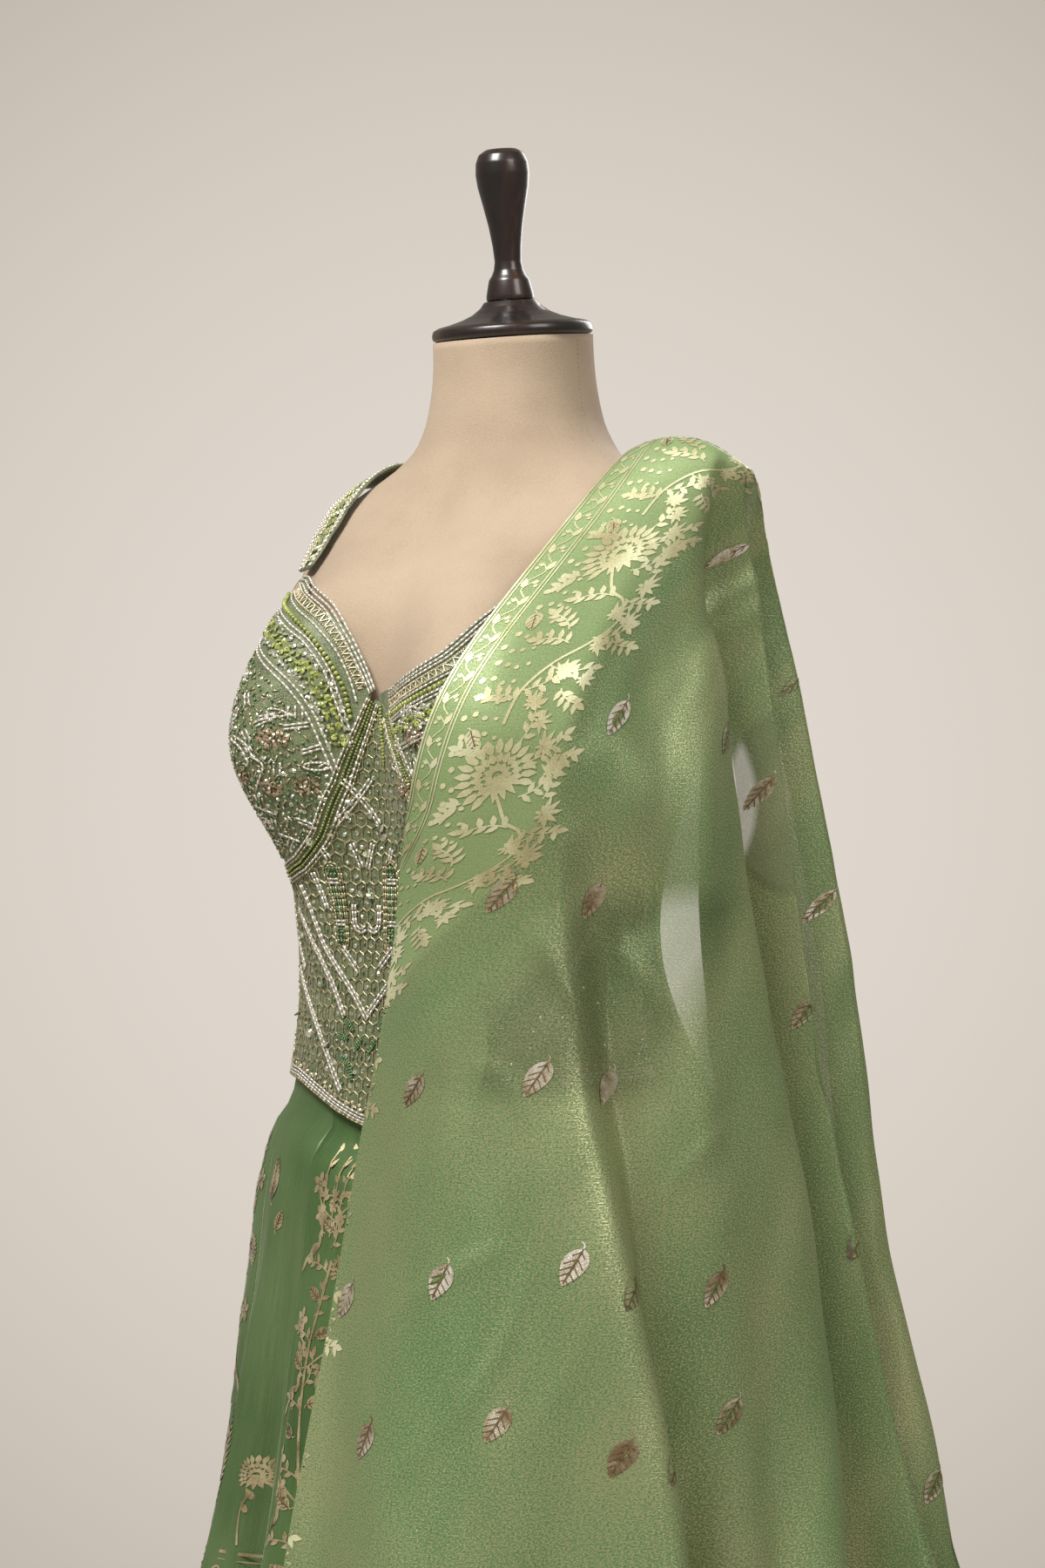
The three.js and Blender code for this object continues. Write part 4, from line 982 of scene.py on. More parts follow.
def crease_depth(angle, z):
    depth = np.zeros_like(z)
    for degrees, top, bottom, drift, half_width, height in SKIRT_CREASES:
        along = np.clip((top - z) / (top - bottom), 0, 1)
        middle = np.radians(degrees + drift * along ** 1.5 + 0.8 * np.sin(along * 7 + degrees))
        apart = np.degrees(np.arctan2(np.sin(angle - middle), np.cos(angle - middle)))
        strength = np.sin(np.clip(along, 0, 1) * math.pi * 0.62) * (1 - np.clip((bottom - z) / 90, 0, 1))
        depth += height * strength * np.exp(-(apart / (half_width * (0.45 + 0.25 * along))) ** 2)
    return depth


def skirt_point(angle, z, lift):
    """Points on the skirt: on the form under the choli, then out in one fold a panel."""
    on_form = form_point(angle, z, lift)
    degrees = np.degrees(np.arctan2(np.sin(angle), np.cos(angle)))
    share = np.clip((hem_line(np.abs(degrees)) - FLARE_START - z) / FLARE_BLEND, 0, 1)
    share = (share * share * (3 - 2 * share))[..., None]
    width, front, back, centre, fold = smooth_rows(SKIRT_SECTIONS, z)
    turn = (angle - FIRST_SEAM) * PANEL_COUNT
    uneven = 1 + 0.22 * np.sin(np.floor(turn / (2 * math.pi) + 1e-9) * 2.4 + 0.7)
    radius = section_radius(angle, width, front, back) + fold * uneven * (1 - np.cos(turn)) / 2 + lift
    radius = radius + crease_depth(angle, z) * np.clip((1000 - z) / 160, 0, 1)
    flared = np.stack([radius * np.sin(angle), centre - radius * np.cos(angle), z], axis=-1)
    return on_form + (flared - on_form) * share


def satin_finish(name, dark, mid, light):
    finish = Finish(name, mid, 0.4, Sheen_Weight=0.25, Sheen_Roughness=0.3, Sheen_Tint=(0.8, 1.0, 0.6, 1),
                    Metallic=0.10, Specular_Tint=(0.9, 1.0, 0.7, 1))
    cloud = finish.noise(finish.coordinates("UV", (1, 0.6, 1)), 9, 4)
    slub = finish.noise(finish.coordinates("UV", (1, 0.02, 1)), 1300, 2)
    # Fine pale specks mixed into the base colour are painted glints of the satin's sheen.
    painted_glint = finish.noise(finish.coordinates("UV", (1, 0.5, 1)), 2600, 1)
    mixed = finish.maths("ADD", cloud, finish.rescale(slub, 0.3, 0.7, -0.06, 0.06))
    finish.feed("Base Color", finish.mix(finish.rescale(painted_glint, 0.66, 0.76, 0, 0.55), finish.ramp(
        mixed, [(0.30, dark), (0.5, mid), (0.70, light)]), (0.50, 0.52, 0.24)))
    finish.feed("Roughness", finish.rescale(slub, 0.3, 0.7, 0.34, 0.48))
    finish.bump(slub, 0.2, 0.0002)
    return finish


plain_satin = satin_finish("green_satin", (0.05, 0.105, 0.035), (0.09, 0.155, 0.06), (0.135, 0.205, 0.09))
brocade_satin = satin_finish("brocade_ground", (0.04, 0.09, 0.028), (0.07, 0.14, 0.045),
                             (0.11, 0.19, 0.07))

band_bm = grid_sheet(96, 4, lambda u, v: form_point(u * 2 * math.pi, 1040.4 + 35 * v, SKIRT_FACE))
bmesh.ops.remove_doubles(band_bm, verts=band_bm.verts, dist=1e-6)
waistband = add_piece("lehenga_waistband", band_bm, [plain_satin])
band_wall = waistband.modifiers.new("wall", "SOLIDIFY")
band_wall.thickness = 1.2 * MM
band_wall.offset = -1
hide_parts("skirt_waistband")

for panel in range(PANEL_COUNT):
    panel_start = FIRST_SEAM + panel * PANEL_ANGLE + 0.0012

    def panel_place(u, v):
        return skirt_point(panel_start + (PANEL_ANGLE - 0.0024) * u,
                           SKIRT_HEM + (SKIRT_TOP - SKIRT_HEM) * v, SKIRT_FACE)

    piece = add_piece(f"lehenga_kali_{panel + 1:02d}", grid_sheet(
        20, 100, panel_place, lambda u, v: ((panel + (u - 0.5) * (1 - 0.6 * v)) * 0.16, v * 1.03)),
        [brocade_satin if panel % 2 == 0 else plain_satin])
    wall = piece.modifiers.new("wall", "SOLIDIFY")
    wall.thickness = 1.0 * MM
    wall.offset = -1
    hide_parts(f"skirt_panel_{panel + 1:02d}")

# ---- Lehenga figures ------------------------------------------------------------------------------
# Gold weft figures woven into the satin, a little proud of it: birds on a flowering vine up each brocade
# kali, single trees, buds and framed borders on the plain ones, and lines with flowers round the hem.
zari = Finish("woven_gold_zari", (0.42, 0.34, 0.17), 0.42, Metallic=0.55, Anisotropic=0.5,
              Sheen_Weight=0.2)
zari_place = zari.coordinates("Object")
zari_tone = zari.noise(zari_place, 70, 3)
zari_grain = zari.noise(zari.coordinates("Object", (1, 1, 3)), 900, 2)
zari.feed("Base Color", zari.ramp(
    zari.maths("ADD", zari_tone, zari.rescale(zari_grain, 0.3, 0.7, -0.14, 0.14)), [
    (0.30, (0.25, 0.195, 0.095)), (0.52, (0.48, 0.40, 0.215)), (0.72, (0.70, 0.62, 0.38))]))
zari.bump(zari_grain, 0.5, 0.0004)


dark_zari = Finish("bronze_vein_zari", (0.22, 0.15, 0.07), 0.45, Metallic=0.5)
dark_tone = dark_zari.noise(dark_zari.coordinates("Object"), 300, 3)
dark_zari.feed("Base Color", dark_zari.ramp(
    dark_tone, [(0.35, (0.13, 0.085, 0.04)), (0.65, (0.27, 0.19, 0.09))]))


def petal_corners(bm, **settings):
    """A disc, drawn out to a point at its far end; it runs from x 0 to x 1."""
    bmesh.ops.create_circle(bm, cap_ends=True, segments=10, radius=0.5)
    for vert in bm.verts:
        vert.co.x += 0.5
        vert.co.y *= 1.35 * math.sqrt(max(1 - vert.co.x, 0)) if vert.co.x > 0.5 else 1.0


def blade_corners(bm, **settings):
    """A leaf blade: a disc drawn out to a point at the tip and narrowed toward its stalk."""
    bmesh.ops.create_circle(bm, cap_ends=True, segments=18, radius=0.5)
    for vert in bm.verts:
        vert.co.x += 0.5
        share = vert.co.x
        vert.co.y = math.copysign(0.5 * math.sin(math.pi * min(max(share, 0), 1) ** 0.72) ** 0.8,
                                  vert.co.y) if 0.001 < share < 0.999 else 0.0


PETAL = template_of(petal_corners)
BLADE = template_of(blade_corners)
DISC = template_of(bmesh.ops.create_circle, cap_ends=True, segments=8, radius=0.5)


class Figures:
    """Flat woven figures laid out in cloth millimetres, then put on a curved cloth."""

    def __init__(self):
        self.spots = []
        self.faces = []
        self.looks = []
        self.count = 0
        self.rise = 0.0
        self.look = 0

    def keep(self, spots, faces):
        """Adds one flat shape at the rise and in the look that are set at the time."""
        self.spots.append(np.column_stack([spots, np.full(len(spots), self.rise)]))
        self.faces.extend([tuple(self.count + corner for corner in face) for face in faces])
        self.looks.extend([self.look] * len(faces))
        self.count += len(spots)

    def shape(self, template, x, y, heading, length, width):
        corners, faces = template
        flat = corners[:, :2] * (length, width)
        cos, sin = math.cos(heading), math.sin(heading)
        self.keep(np.stack([x + flat[:, 0] * cos - flat[:, 1] * sin,
                            y + flat[:, 0] * sin + flat[:, 1] * cos], axis=1), faces)

    def petal(self, x, y, degrees, length, width):
        self.shape(PETAL, x, y, math.radians(degrees), length, width)

    def dot(self, x, y, size):
        self.shape(DISC, x, y, 0, size, size)

    def stem(self, points, width, steps=5):
        """A smooth strip of an even width through some points."""
        rows = np.array(points, dtype=float)
        count = steps * (len(rows) - 1)
        path = spline_rows(rows, np.linspace(0, len(rows) - 1, count + 1))
        ahead = np.gradient(path, axis=0)
        aside = np.stack([-ahead[:, 1], ahead[:, 0]], axis=1) / np.maximum(
            np.linalg.norm(ahead, axis=1), 1e-9)[:, None]
        corners, faces = template_of(bmesh.ops.create_grid, x_segments=count, y_segments=1, size=0.5)
        index = np.rint((corners[:, 0] + 0.5) * count).astype(int)
        self.keep(path[index] + aside[index] * (corners[:, 1] * width)[:, None], faces)

    def flower(self, x, y, size, petals=5, turn=90.0):
        for petal in range(petals):
            heading = turn + petal * 360 / petals
            self.shape(DISC, x + 0.29 * size * math.cos(math.radians(heading)),
                       y + 0.29 * size * math.sin(math.radians(heading)), math.radians(heading),
                       size * 0.42, size * 1.45 / petals)
        self.dot(x, y, size * 0.16)

    def blossom(self, x, y, size, turn=-90.0):
        """A many-petalled bloom seen from the side: three fans of petals round a heart."""
        for ring, (petals, spread, near, reach, width) in enumerate((
                (17, 262, 0.31, 0.22, 0.105), (13, 240, 0.18, 0.16, 0.095), (8, 215, 0.06, 0.13, 0.085))):
            for petal in range(petals):
                heading = turn + 180 + spread * (petal / (petals - 1) - 0.5)
                self.petal(x + near * size * math.cos(math.radians(heading)),
                           y + near * size * math.sin(math.radians(heading)), heading, size * reach,
                           size * width)
        for petal in range(5):
            self.petal(x, y, turn - 44 + 22 * petal, size * 0.40, size * 0.12)

    def leaf(self, x, y, degrees, length, width, veins=5):
        """A solid pointed leaf with a darker midrib, slanting veins and a short curled stalk."""
        heading = math.radians(degrees)
        cos, sin = math.cos(heading), math.sin(heading)
        self.shape(BLADE, x, y, heading, length, width)
        self.look, self.rise = 1, self.rise + 0.22
        self.stem([(x, y), (x + 0.5 * length * cos, y + 0.5 * length * sin),
                   (x + 0.93 * length * cos, y + 0.93 * length * sin)], 0.045 * width + 0.35, 3)
        for vein in range(veins):
            share = (vein + 0.55) / (veins + 0.4)
            half = 0.40 * width * math.sin(math.pi * share ** 0.72) ** 0.8
            for side in (-1, 1):
                foot = share * length - 0.02 * length
                tip = foot + half * 0.85
                self.stem([(x + foot * cos, y + foot * sin),
                           (x + tip * cos - side * half * sin, y + tip * sin + side * half * cos)],
                          0.03 * width + 0.2, 1)
        self.look, self.rise = 0, self.rise - 0.22
        self.stem([(x - 0.20 * length * math.cos(heading + 0.7), y - 0.20 * length * math.sin(heading + 0.7)),
                   (x - 0.10 * length * math.cos(heading + 0.2), y - 0.10 * length * math.sin(heading + 0.2)),
                   (x + 0.05 * length * cos, y + 0.05 * length * sin)], 1.0, 3)

    def sprig(self, x, y, degrees, length, leaves=5, size=6.0):
        """A curved twig with leaves in pairs and a bud at its tip."""
        path = [(x + length * share * math.cos(math.radians(degrees + 26 * share)),
                 y + length * share * math.sin(math.radians(degrees + 26 * share)))
                 for share in (0, 0.35, 0.7, 1)]
        self.stem(path, 1.0)
        for leaf in range(leaves):
            share = (leaf + 0.7) / leaves
            at = math.radians(degrees + 26 * share)
            side = 1 if leaf % 2 else -1
            self.petal(x + length * share * math.cos(at), y + length * share * math.sin(at),
                       degrees + 26 * share + side * 52, size, size * 0.48)
        self.petal(*path[-1], degrees + 30, size * 1.1, size * 0.55)

    def bird(self, x, y, size, facing=1):
        """A long-tailed garden bird at rest, with barred wings."""
        def spot(along, up):
            return x + facing * along * size, y + up * size

        def part(along, up, degrees, length, width):
            self.petal(*spot(along, up), degrees if facing > 0 else 180 - degrees,
                       length * size, width * size)

        for row in range(6):
            part(-0.26 + 0.035 * row, -0.15 + 0.055 * row, 32 - row * 2, 0.62 - 0.05 * row, 0.05)
        part(-0.22, -0.22, 38, 0.66, 0.07)
        for feather in range(5):
            part(-0.22 + 0.03 * feather, -0.13 + 0.02 * feather, 232 - feather * 6,
                 0.58 - 0.05 * feather, 0.06)
        self.stem([spot(0.20, 0.14), spot(0.27, 0.28), spot(0.25, 0.42), spot(0.30, 0.50)], 0.11 * size)
        self.dot(*spot(0.30, 0.50), 0.13 * size)
        part(0.34, 0.50, -12, 0.13, 0.04)
        for plume in (70, 95, 120):
            part(0.29, 0.55, plume, 0.11, 0.03)
        self.stem([spot(0.05, -0.14), spot(0.04, -0.32)], 0.03 * size)
        self.stem([spot(0.14, -0.08), spot(0.15, -0.30)], 0.03 * size)

    def tree(self, x, y, height, width):
        """A slender tree of close slanting leaves."""
        for row in range(15):
            share = row / 14
            half = width / 2 * math.sin(math.pi * (0.10 + 0.86 * share)) ** 0.8 + 0.6
            for side in (-1, 1):
                self.petal(x + side * 0.2, y + share * height, 90 - side * 48, half * 1.25, height / 17)
        self.stem([(x, y - height * 0.22), (x, y)], 1.2, 2)

    def make(self, name, surface, slot, finishes):
        spots = np.concatenate(self.spots)
        mesh = bpy.data.meshes.new(name)
        mesh.from_pydata(surface(*spots.T) * MM, [], self.faces)
        for finish in finishes:
            mesh.materials.append(finish.material)
        mesh.polygons.foreach_set("material_index", np.array(self.looks, dtype=np.int32))
        mesh.shade_smooth()
        piece = bpy.data.objects.new(name, mesh)
        bpy.context.scene.collection.objects.link(piece)
        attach(piece, "root")
        return piece


def kali_surface(panel):
    """Puts figures on one kali: x is across from its middle line, y is the height above the hem."""
    middle = FIRST_SEAM + (panel + 0.5) * PANEL_ANGLE

    def surface(x, y, rise):
        z = SKIRT_HEM + y
        width, front, back, _, fold = smooth_rows(SKIRT_SECTIONS, z)
        reach = 0.5 * width + 0.25 * (front + back) + 0.5 * fold
        turn = np.clip(x / reach, -PANEL_ANGLE / 2 + 0.004, PANEL_ANGLE / 2 - 0.004)
        return skirt_point(middle + turn, z, SKIRT_FACE + 0.45 + rise)

    return surface


for panel in range(PANEL_COUNT):
    figures = Figures()
    if panel % 2 == 0:
        vine = [(5 + (8 + 0.012 * (900 - height)) * math.sin(height / 47 + panel), height)
                for height in range(30, 905, 20)]
        figures.stem(vine, 2.2, 3)
        for step, height in enumerate(range(50, 930, 46)):
            spread = 1 + 0.0011 * (930 - height)
            sway = 5 + (8 + 0.012 * (900 - height)) * math.sin(height / 47 + panel)
            grown = min(spread, 1.5)
            if step % 4 == 2:
                figures.bird(-15 * spread, height + 16, 27 * grown, 1)
                figures.blossom(sway + 14 * spread, height + 6, 24 * grown, -100)
            elif step % 4 == 0:
                figures.bird(14 * spread, height + 14, 27 * grown, -1)
                figures.bird(-15 * spread, height + 12, 26 * grown, 1)
            else:
                figures.flower(-17 * spread, height + 16, 17 * grown, 5, 80)
                figures.flower(-10 * spread, height - 4, 15 * grown, 5, 60)
                figures.flower(19 * spread, height + 10, 17 * grown, 5, 100)
                figures.stem([(sway, height - 10), (-5 * spread, height - 2),
                              (-15 * spread, height + 8)], 1.4)
                figures.stem([(sway, height - 14), (9 * spread, height - 4), (17 * spread, height + 4)], 1.4)
            figures.sprig(sway, height + 4, 140, 20 * spread, 5, 7.5)
            figures.sprig(sway, height + 20, 50, 18 * spread, 4, 7)
            figures.leaf(sway - 5, height - 14, 152, 14 * spread, 8 * spread, 4)
            figures.leaf(sway + 5, height + 8, 20, 13 * spread, 8 * spread, 4)
        for side in (-1, 0.2, 1):
            figures.stem([(side * 6, 905), (side * 9, 935), (side * 11, 965)], 1.2)
            for rise in range(6):
                figures.petal(side * 9, 912 + rise * 10, 60 + 60 * (rise % 2), 6.5, 3)
            figures.flower(side * 10, 928 - abs(side) * 9, 9)
    else:
        for height, offset in ((925, -9), (520, 16), (360, -18), (205, 20)):
            figures.leaf(offset, height, 96, 30, 15, 7)
        for height, offset in ((905, 4),):
            figures.leaf(offset, height, 70, 15, 9, 5)
        figures.tree(-16, 715, 66, 20)
        figures.stem([(14, 690), (11, 712), (15, 726)], 1.3)
        figures.blossom(16, 738, 26, -90)
        for rise in (0, 9):
            figures.petal(15 + rise * 0.2, 712 + rise, 120, 9, 4)
        for height in (684, 640, 96):
            figures.stem([(-60, height), (0, height), (60, height)], 2.2, 4)
            figures.stem([(-60, height - 5), (0, height - 5), (60, height - 5)], 0.9, 4)
        for offset in (-34, -17, 0, 17, 34):
            figures.stem([(offset - 7, 650), (offset - 4, 668), (offset, 674),
                          (offset + 4, 668), (offset + 7, 650)], 1.5)
            figures.flower(offset, 658, 11)
    for height in (4, 12, 62, 70):
        figures.stem([(-82, height), (0, height), (82, height)], 1.6, 6)
    for offset in range(-60, 61, 20):
        figures.flower(offset, 37, 17)
        figures.petal(offset + 10, 22, 90, 26, 5)
    figure_piece = figures.make(f"kali_figures_{panel + 1:02d}", kali_surface(panel),
                                "brocade_satin" if panel % 2 == 0 else "plain_satin", [zari, dark_zari])

# ---- Dupatta --------------------------------------------------------------------------------------
# A long scarf of sheer metallic tissue, green silk warp and gold weft, pleated over the left shoulder and
# let fall open in front. Each fold line runs from the front hem over the shoulder to the back hem; the
# first is the inner border and the last the outer one. Places are in millimetres at each level's height.
LEVEL_HEIGHTS = dict(front_hem=260, front_thigh=700, front_hip=930, front_waist=1110, front_apex=1250,
                     front_bust=1290, front_chest=1385, ridge=None, back_shoulder=1428, back_chest=1385,
                     back_bust=1290, back_waist=1110, back_hip=930, back_thigh=700, back_hem=330)
FOLD_LINES = []


def fold_line(**crossings):
    FOLD_LINES.append([(*crossings[level][:2], crossings[level][2] if height is None else height)
                       for level, height in LEVEL_HEIGHTS.items()])


fold_line(front_hem=(10, -345), front_thigh=(5, -222), front_hip=(0, -148), front_waist=(27, -131),
          front_apex=(76, -165), front_bust=(88, -160), front_chest=(114, -76), ridge=(112, 36, 1462),
          back_shoulder=(92, 109), back_chest=(58, 122), back_bust=(48, 116), back_waist=(-4, 98),
          back_hip=(0, 150), back_thigh=(0, 240), back_hem=(0, 326))
fold_line(front_hem=(130, -343), front_thigh=(90, -226), front_hip=(75, -160), front_waist=(72, -138),
          front_apex=(120, -148), front_bust=(122, -142), front_chest=(130, -62), ridge=(126, 34, 1465),
          back_shoulder=(101, 110), back_chest=(66, 126), back_bust=(56, 124), back_waist=(8, 108),
          back_hip=(22, 166), back_thigh=(36, 256), back_hem=(60, 344))
fold_line(front_hem=(240, -292), front_thigh=(168, -186), front_hip=(145, -140), front_waist=(125, -122),
          front_apex=(148, -108), front_bust=(148, -104), front_chest=(146, -46), ridge=(140, 33, 1466),
          back_shoulder=(110, 106), back_chest=(73, 122), back_bust=(64, 120), back_waist=(18, 103),
          back_hip=(40, 158), back_thigh=(66, 246), back_hem=(105, 332))
fold_line(front_hem=(325, -187), front_thigh=(224, -113), front_hip=(196, -86), front_waist=(170, -76),
          front_apex=(168, -62), front_bust=(165, -60), front_chest=(159, -28), ridge=(154, 33, 1465),
          back_shoulder=(119, 105), back_chest=(81, 127), back_bust=(73, 128), back_waist=(30, 112),
          back_hip=(60, 172), back_thigh=(98, 260), back_hem=(150, 346))
fold_line(front_hem=(364, -45), front_thigh=(254, -20), front_hip=(225, -12), front_waist=(197, -14),
          front_apex=(180, -14), front_bust=(175, -16), front_chest=(170, -6), ridge=(167, 34, 1462),
          back_shoulder=(128, 101), back_chest=(88, 124), back_bust=(80, 125), back_waist=(39, 108),
          back_hip=(76, 165), back_thigh=(124, 250), back_hem=(190, 332))
fold_line(front_hem=(366, 112), front_thigh=(260, 88), front_hip=(232, 68), front_waist=(207, 48),
          front_apex=(185, 32), front_bust=(178, 28), front_chest=(176, 20), ridge=(178, 37, 1457),
          back_shoulder=(138, 98), back_chest=(96, 129), back_bust=(90, 132), back_waist=(49, 115),
          back_hip=(94, 176), back_thigh=(152, 260), back_hem=(228, 337))
fold_line(front_hem=(322, 146), front_thigh=(218, 98), front_hip=(176, 62), front_waist=(150, 58),
          front_apex=(156, 53), front_bust=(153, 52), front_chest=(162, 46), ridge=(184, 44, 1451),
          back_shoulder=(145, 101), back_chest=(101, 134), back_bust=(87, 140), back_waist=(47, 124),
          back_hip=(91, 187), back_thigh=(149, 272), back_hem=(224, 350))
fold_line(front_hem=(347, 205), front_thigh=(273, 149), front_hip=(233, 119), front_waist=(208, 100),
          front_apex=(194, 90), front_bust=(190, 87), front_chest=(180, 76), ridge=(189, 52, 1446),
          back_shoulder=(152, 95), back_chest=(108, 130), back_bust=(100, 134), back_waist=(61, 116),
          back_hip=(112, 172), back_thigh=(178, 250), back_hem=(262, 314))
fold_line(front_hem=(316, 196), front_thigh=(233, 138), front_hip=(196, 110), front_waist=(172, 92),
          front_apex=(160, 84), front_bust=(156, 82), front_chest=(152, 76), ridge=(191, 61, 1440),
          back_shoulder=(157, 98), back_chest=(113, 135), back_bust=(98, 143), back_waist=(59, 125),
          back_hip=(109, 184), back_thigh=(175, 263), back_hem=(259, 328))
fold_line(front_hem=(366, 255), front_thigh=(275, 195), front_hip=(234, 164), front_waist=(214, 149),
          front_apex=(194, 133), front_bust=(188, 129), front_chest=(172, 112), ridge=(190, 70, 1434),
          back_shoulder=(164, 90), back_chest=(122, 130), back_bust=(112, 130), back_waist=(74, 112),
          back_hip=(132, 160), back_thigh=(206, 232), back_hem=(296, 284))
fold_line(front_hem=(330, 262), front_thigh=(239, 199), front_hip=(200, 170), front_waist=(183, 156),
          front_apex=(163, 141), front_bust=(157, 137), front_chest=(146, 122), ridge=(185, 78, 1429),
          back_shoulder=(163, 97), back_chest=(126, 135), back_bust=(110, 140), back_waist=(73, 121),
          back_hip=(130, 172), back_thigh=(204, 246), back_hem=(294, 299))

DUPATTA_COLUMNS = 180
DUPATTA_ROWS = 430


def grid_normals(points):
    normals = np.cross(np.gradient(points, axis=1), np.gradient(points, axis=0))
    return normals / np.maximum(np.linalg.norm(normals, axis=2, keepdims=True), 1e-9)


def grid_lengths(points, axis):
    steps = np.linalg.norm(np.diff(points, axis=axis), axis=2)
    start = np.zeros_like(np.take(steps, [0], axis=axis))
    return np.concatenate([start, np.cumsum(steps, axis=axis)], axis=axis)


fold_rows = np.array(FOLD_LINES, dtype=float)
along_points = spline_rows(fold_rows.swapaxes(0, 1), np.linspace(0, len(LEVEL_HEIGHTS) - 1, DUPATTA_ROWS + 1))
dupatta_points = spline_rows(along_points.swapaxes(0, 1), np.linspace(
    0, len(FOLD_LINES) - 1, DUPATTA_COLUMNS + 1)).swapaxes(0, 1)
run = grid_lengths(dupatta_points, 0)[:, DUPATTA_COLUMNS // 4]
even_rows = np.interp(np.linspace(0, run[-1], DUPATTA_ROWS + 1), run, np.arange(DUPATTA_ROWS + 1))
row_under = np.minimum(even_rows.astype(int), DUPATTA_ROWS - 1)
row_part = (even_rows - row_under)[:, None, None]
dupatta_points = dupatta_points[row_under] * (1 - row_part) + dupatta_points[row_under + 1] * row_part
loose_part = np.linspace(0, run[-1], DUPATTA_ROWS + 1)
loose_part = np.clip(1.7 - np.abs(loose_part - 1035) / 130, 0, 1)[1:-1, None, None]
for _ in range(80):
    evened = 0.25 * (dupatta_points[:-2] + dupatta_points[2:]) + 0.5 * dupatta_points[1:-1]
    dupatta_points[1:-1] += loose_part * (evened - dupatta_points[1:-1])
across_lengths = grid_lengths(dupatta_points, 1)
along_lengths = grid_lengths(dupatta_points, 0)[:, DUPATTA_COLUMNS // 4]
cloth_x = across_lengths
cloth_y = np.broadcast_to(along_lengths[:, None], cloth_x.shape)

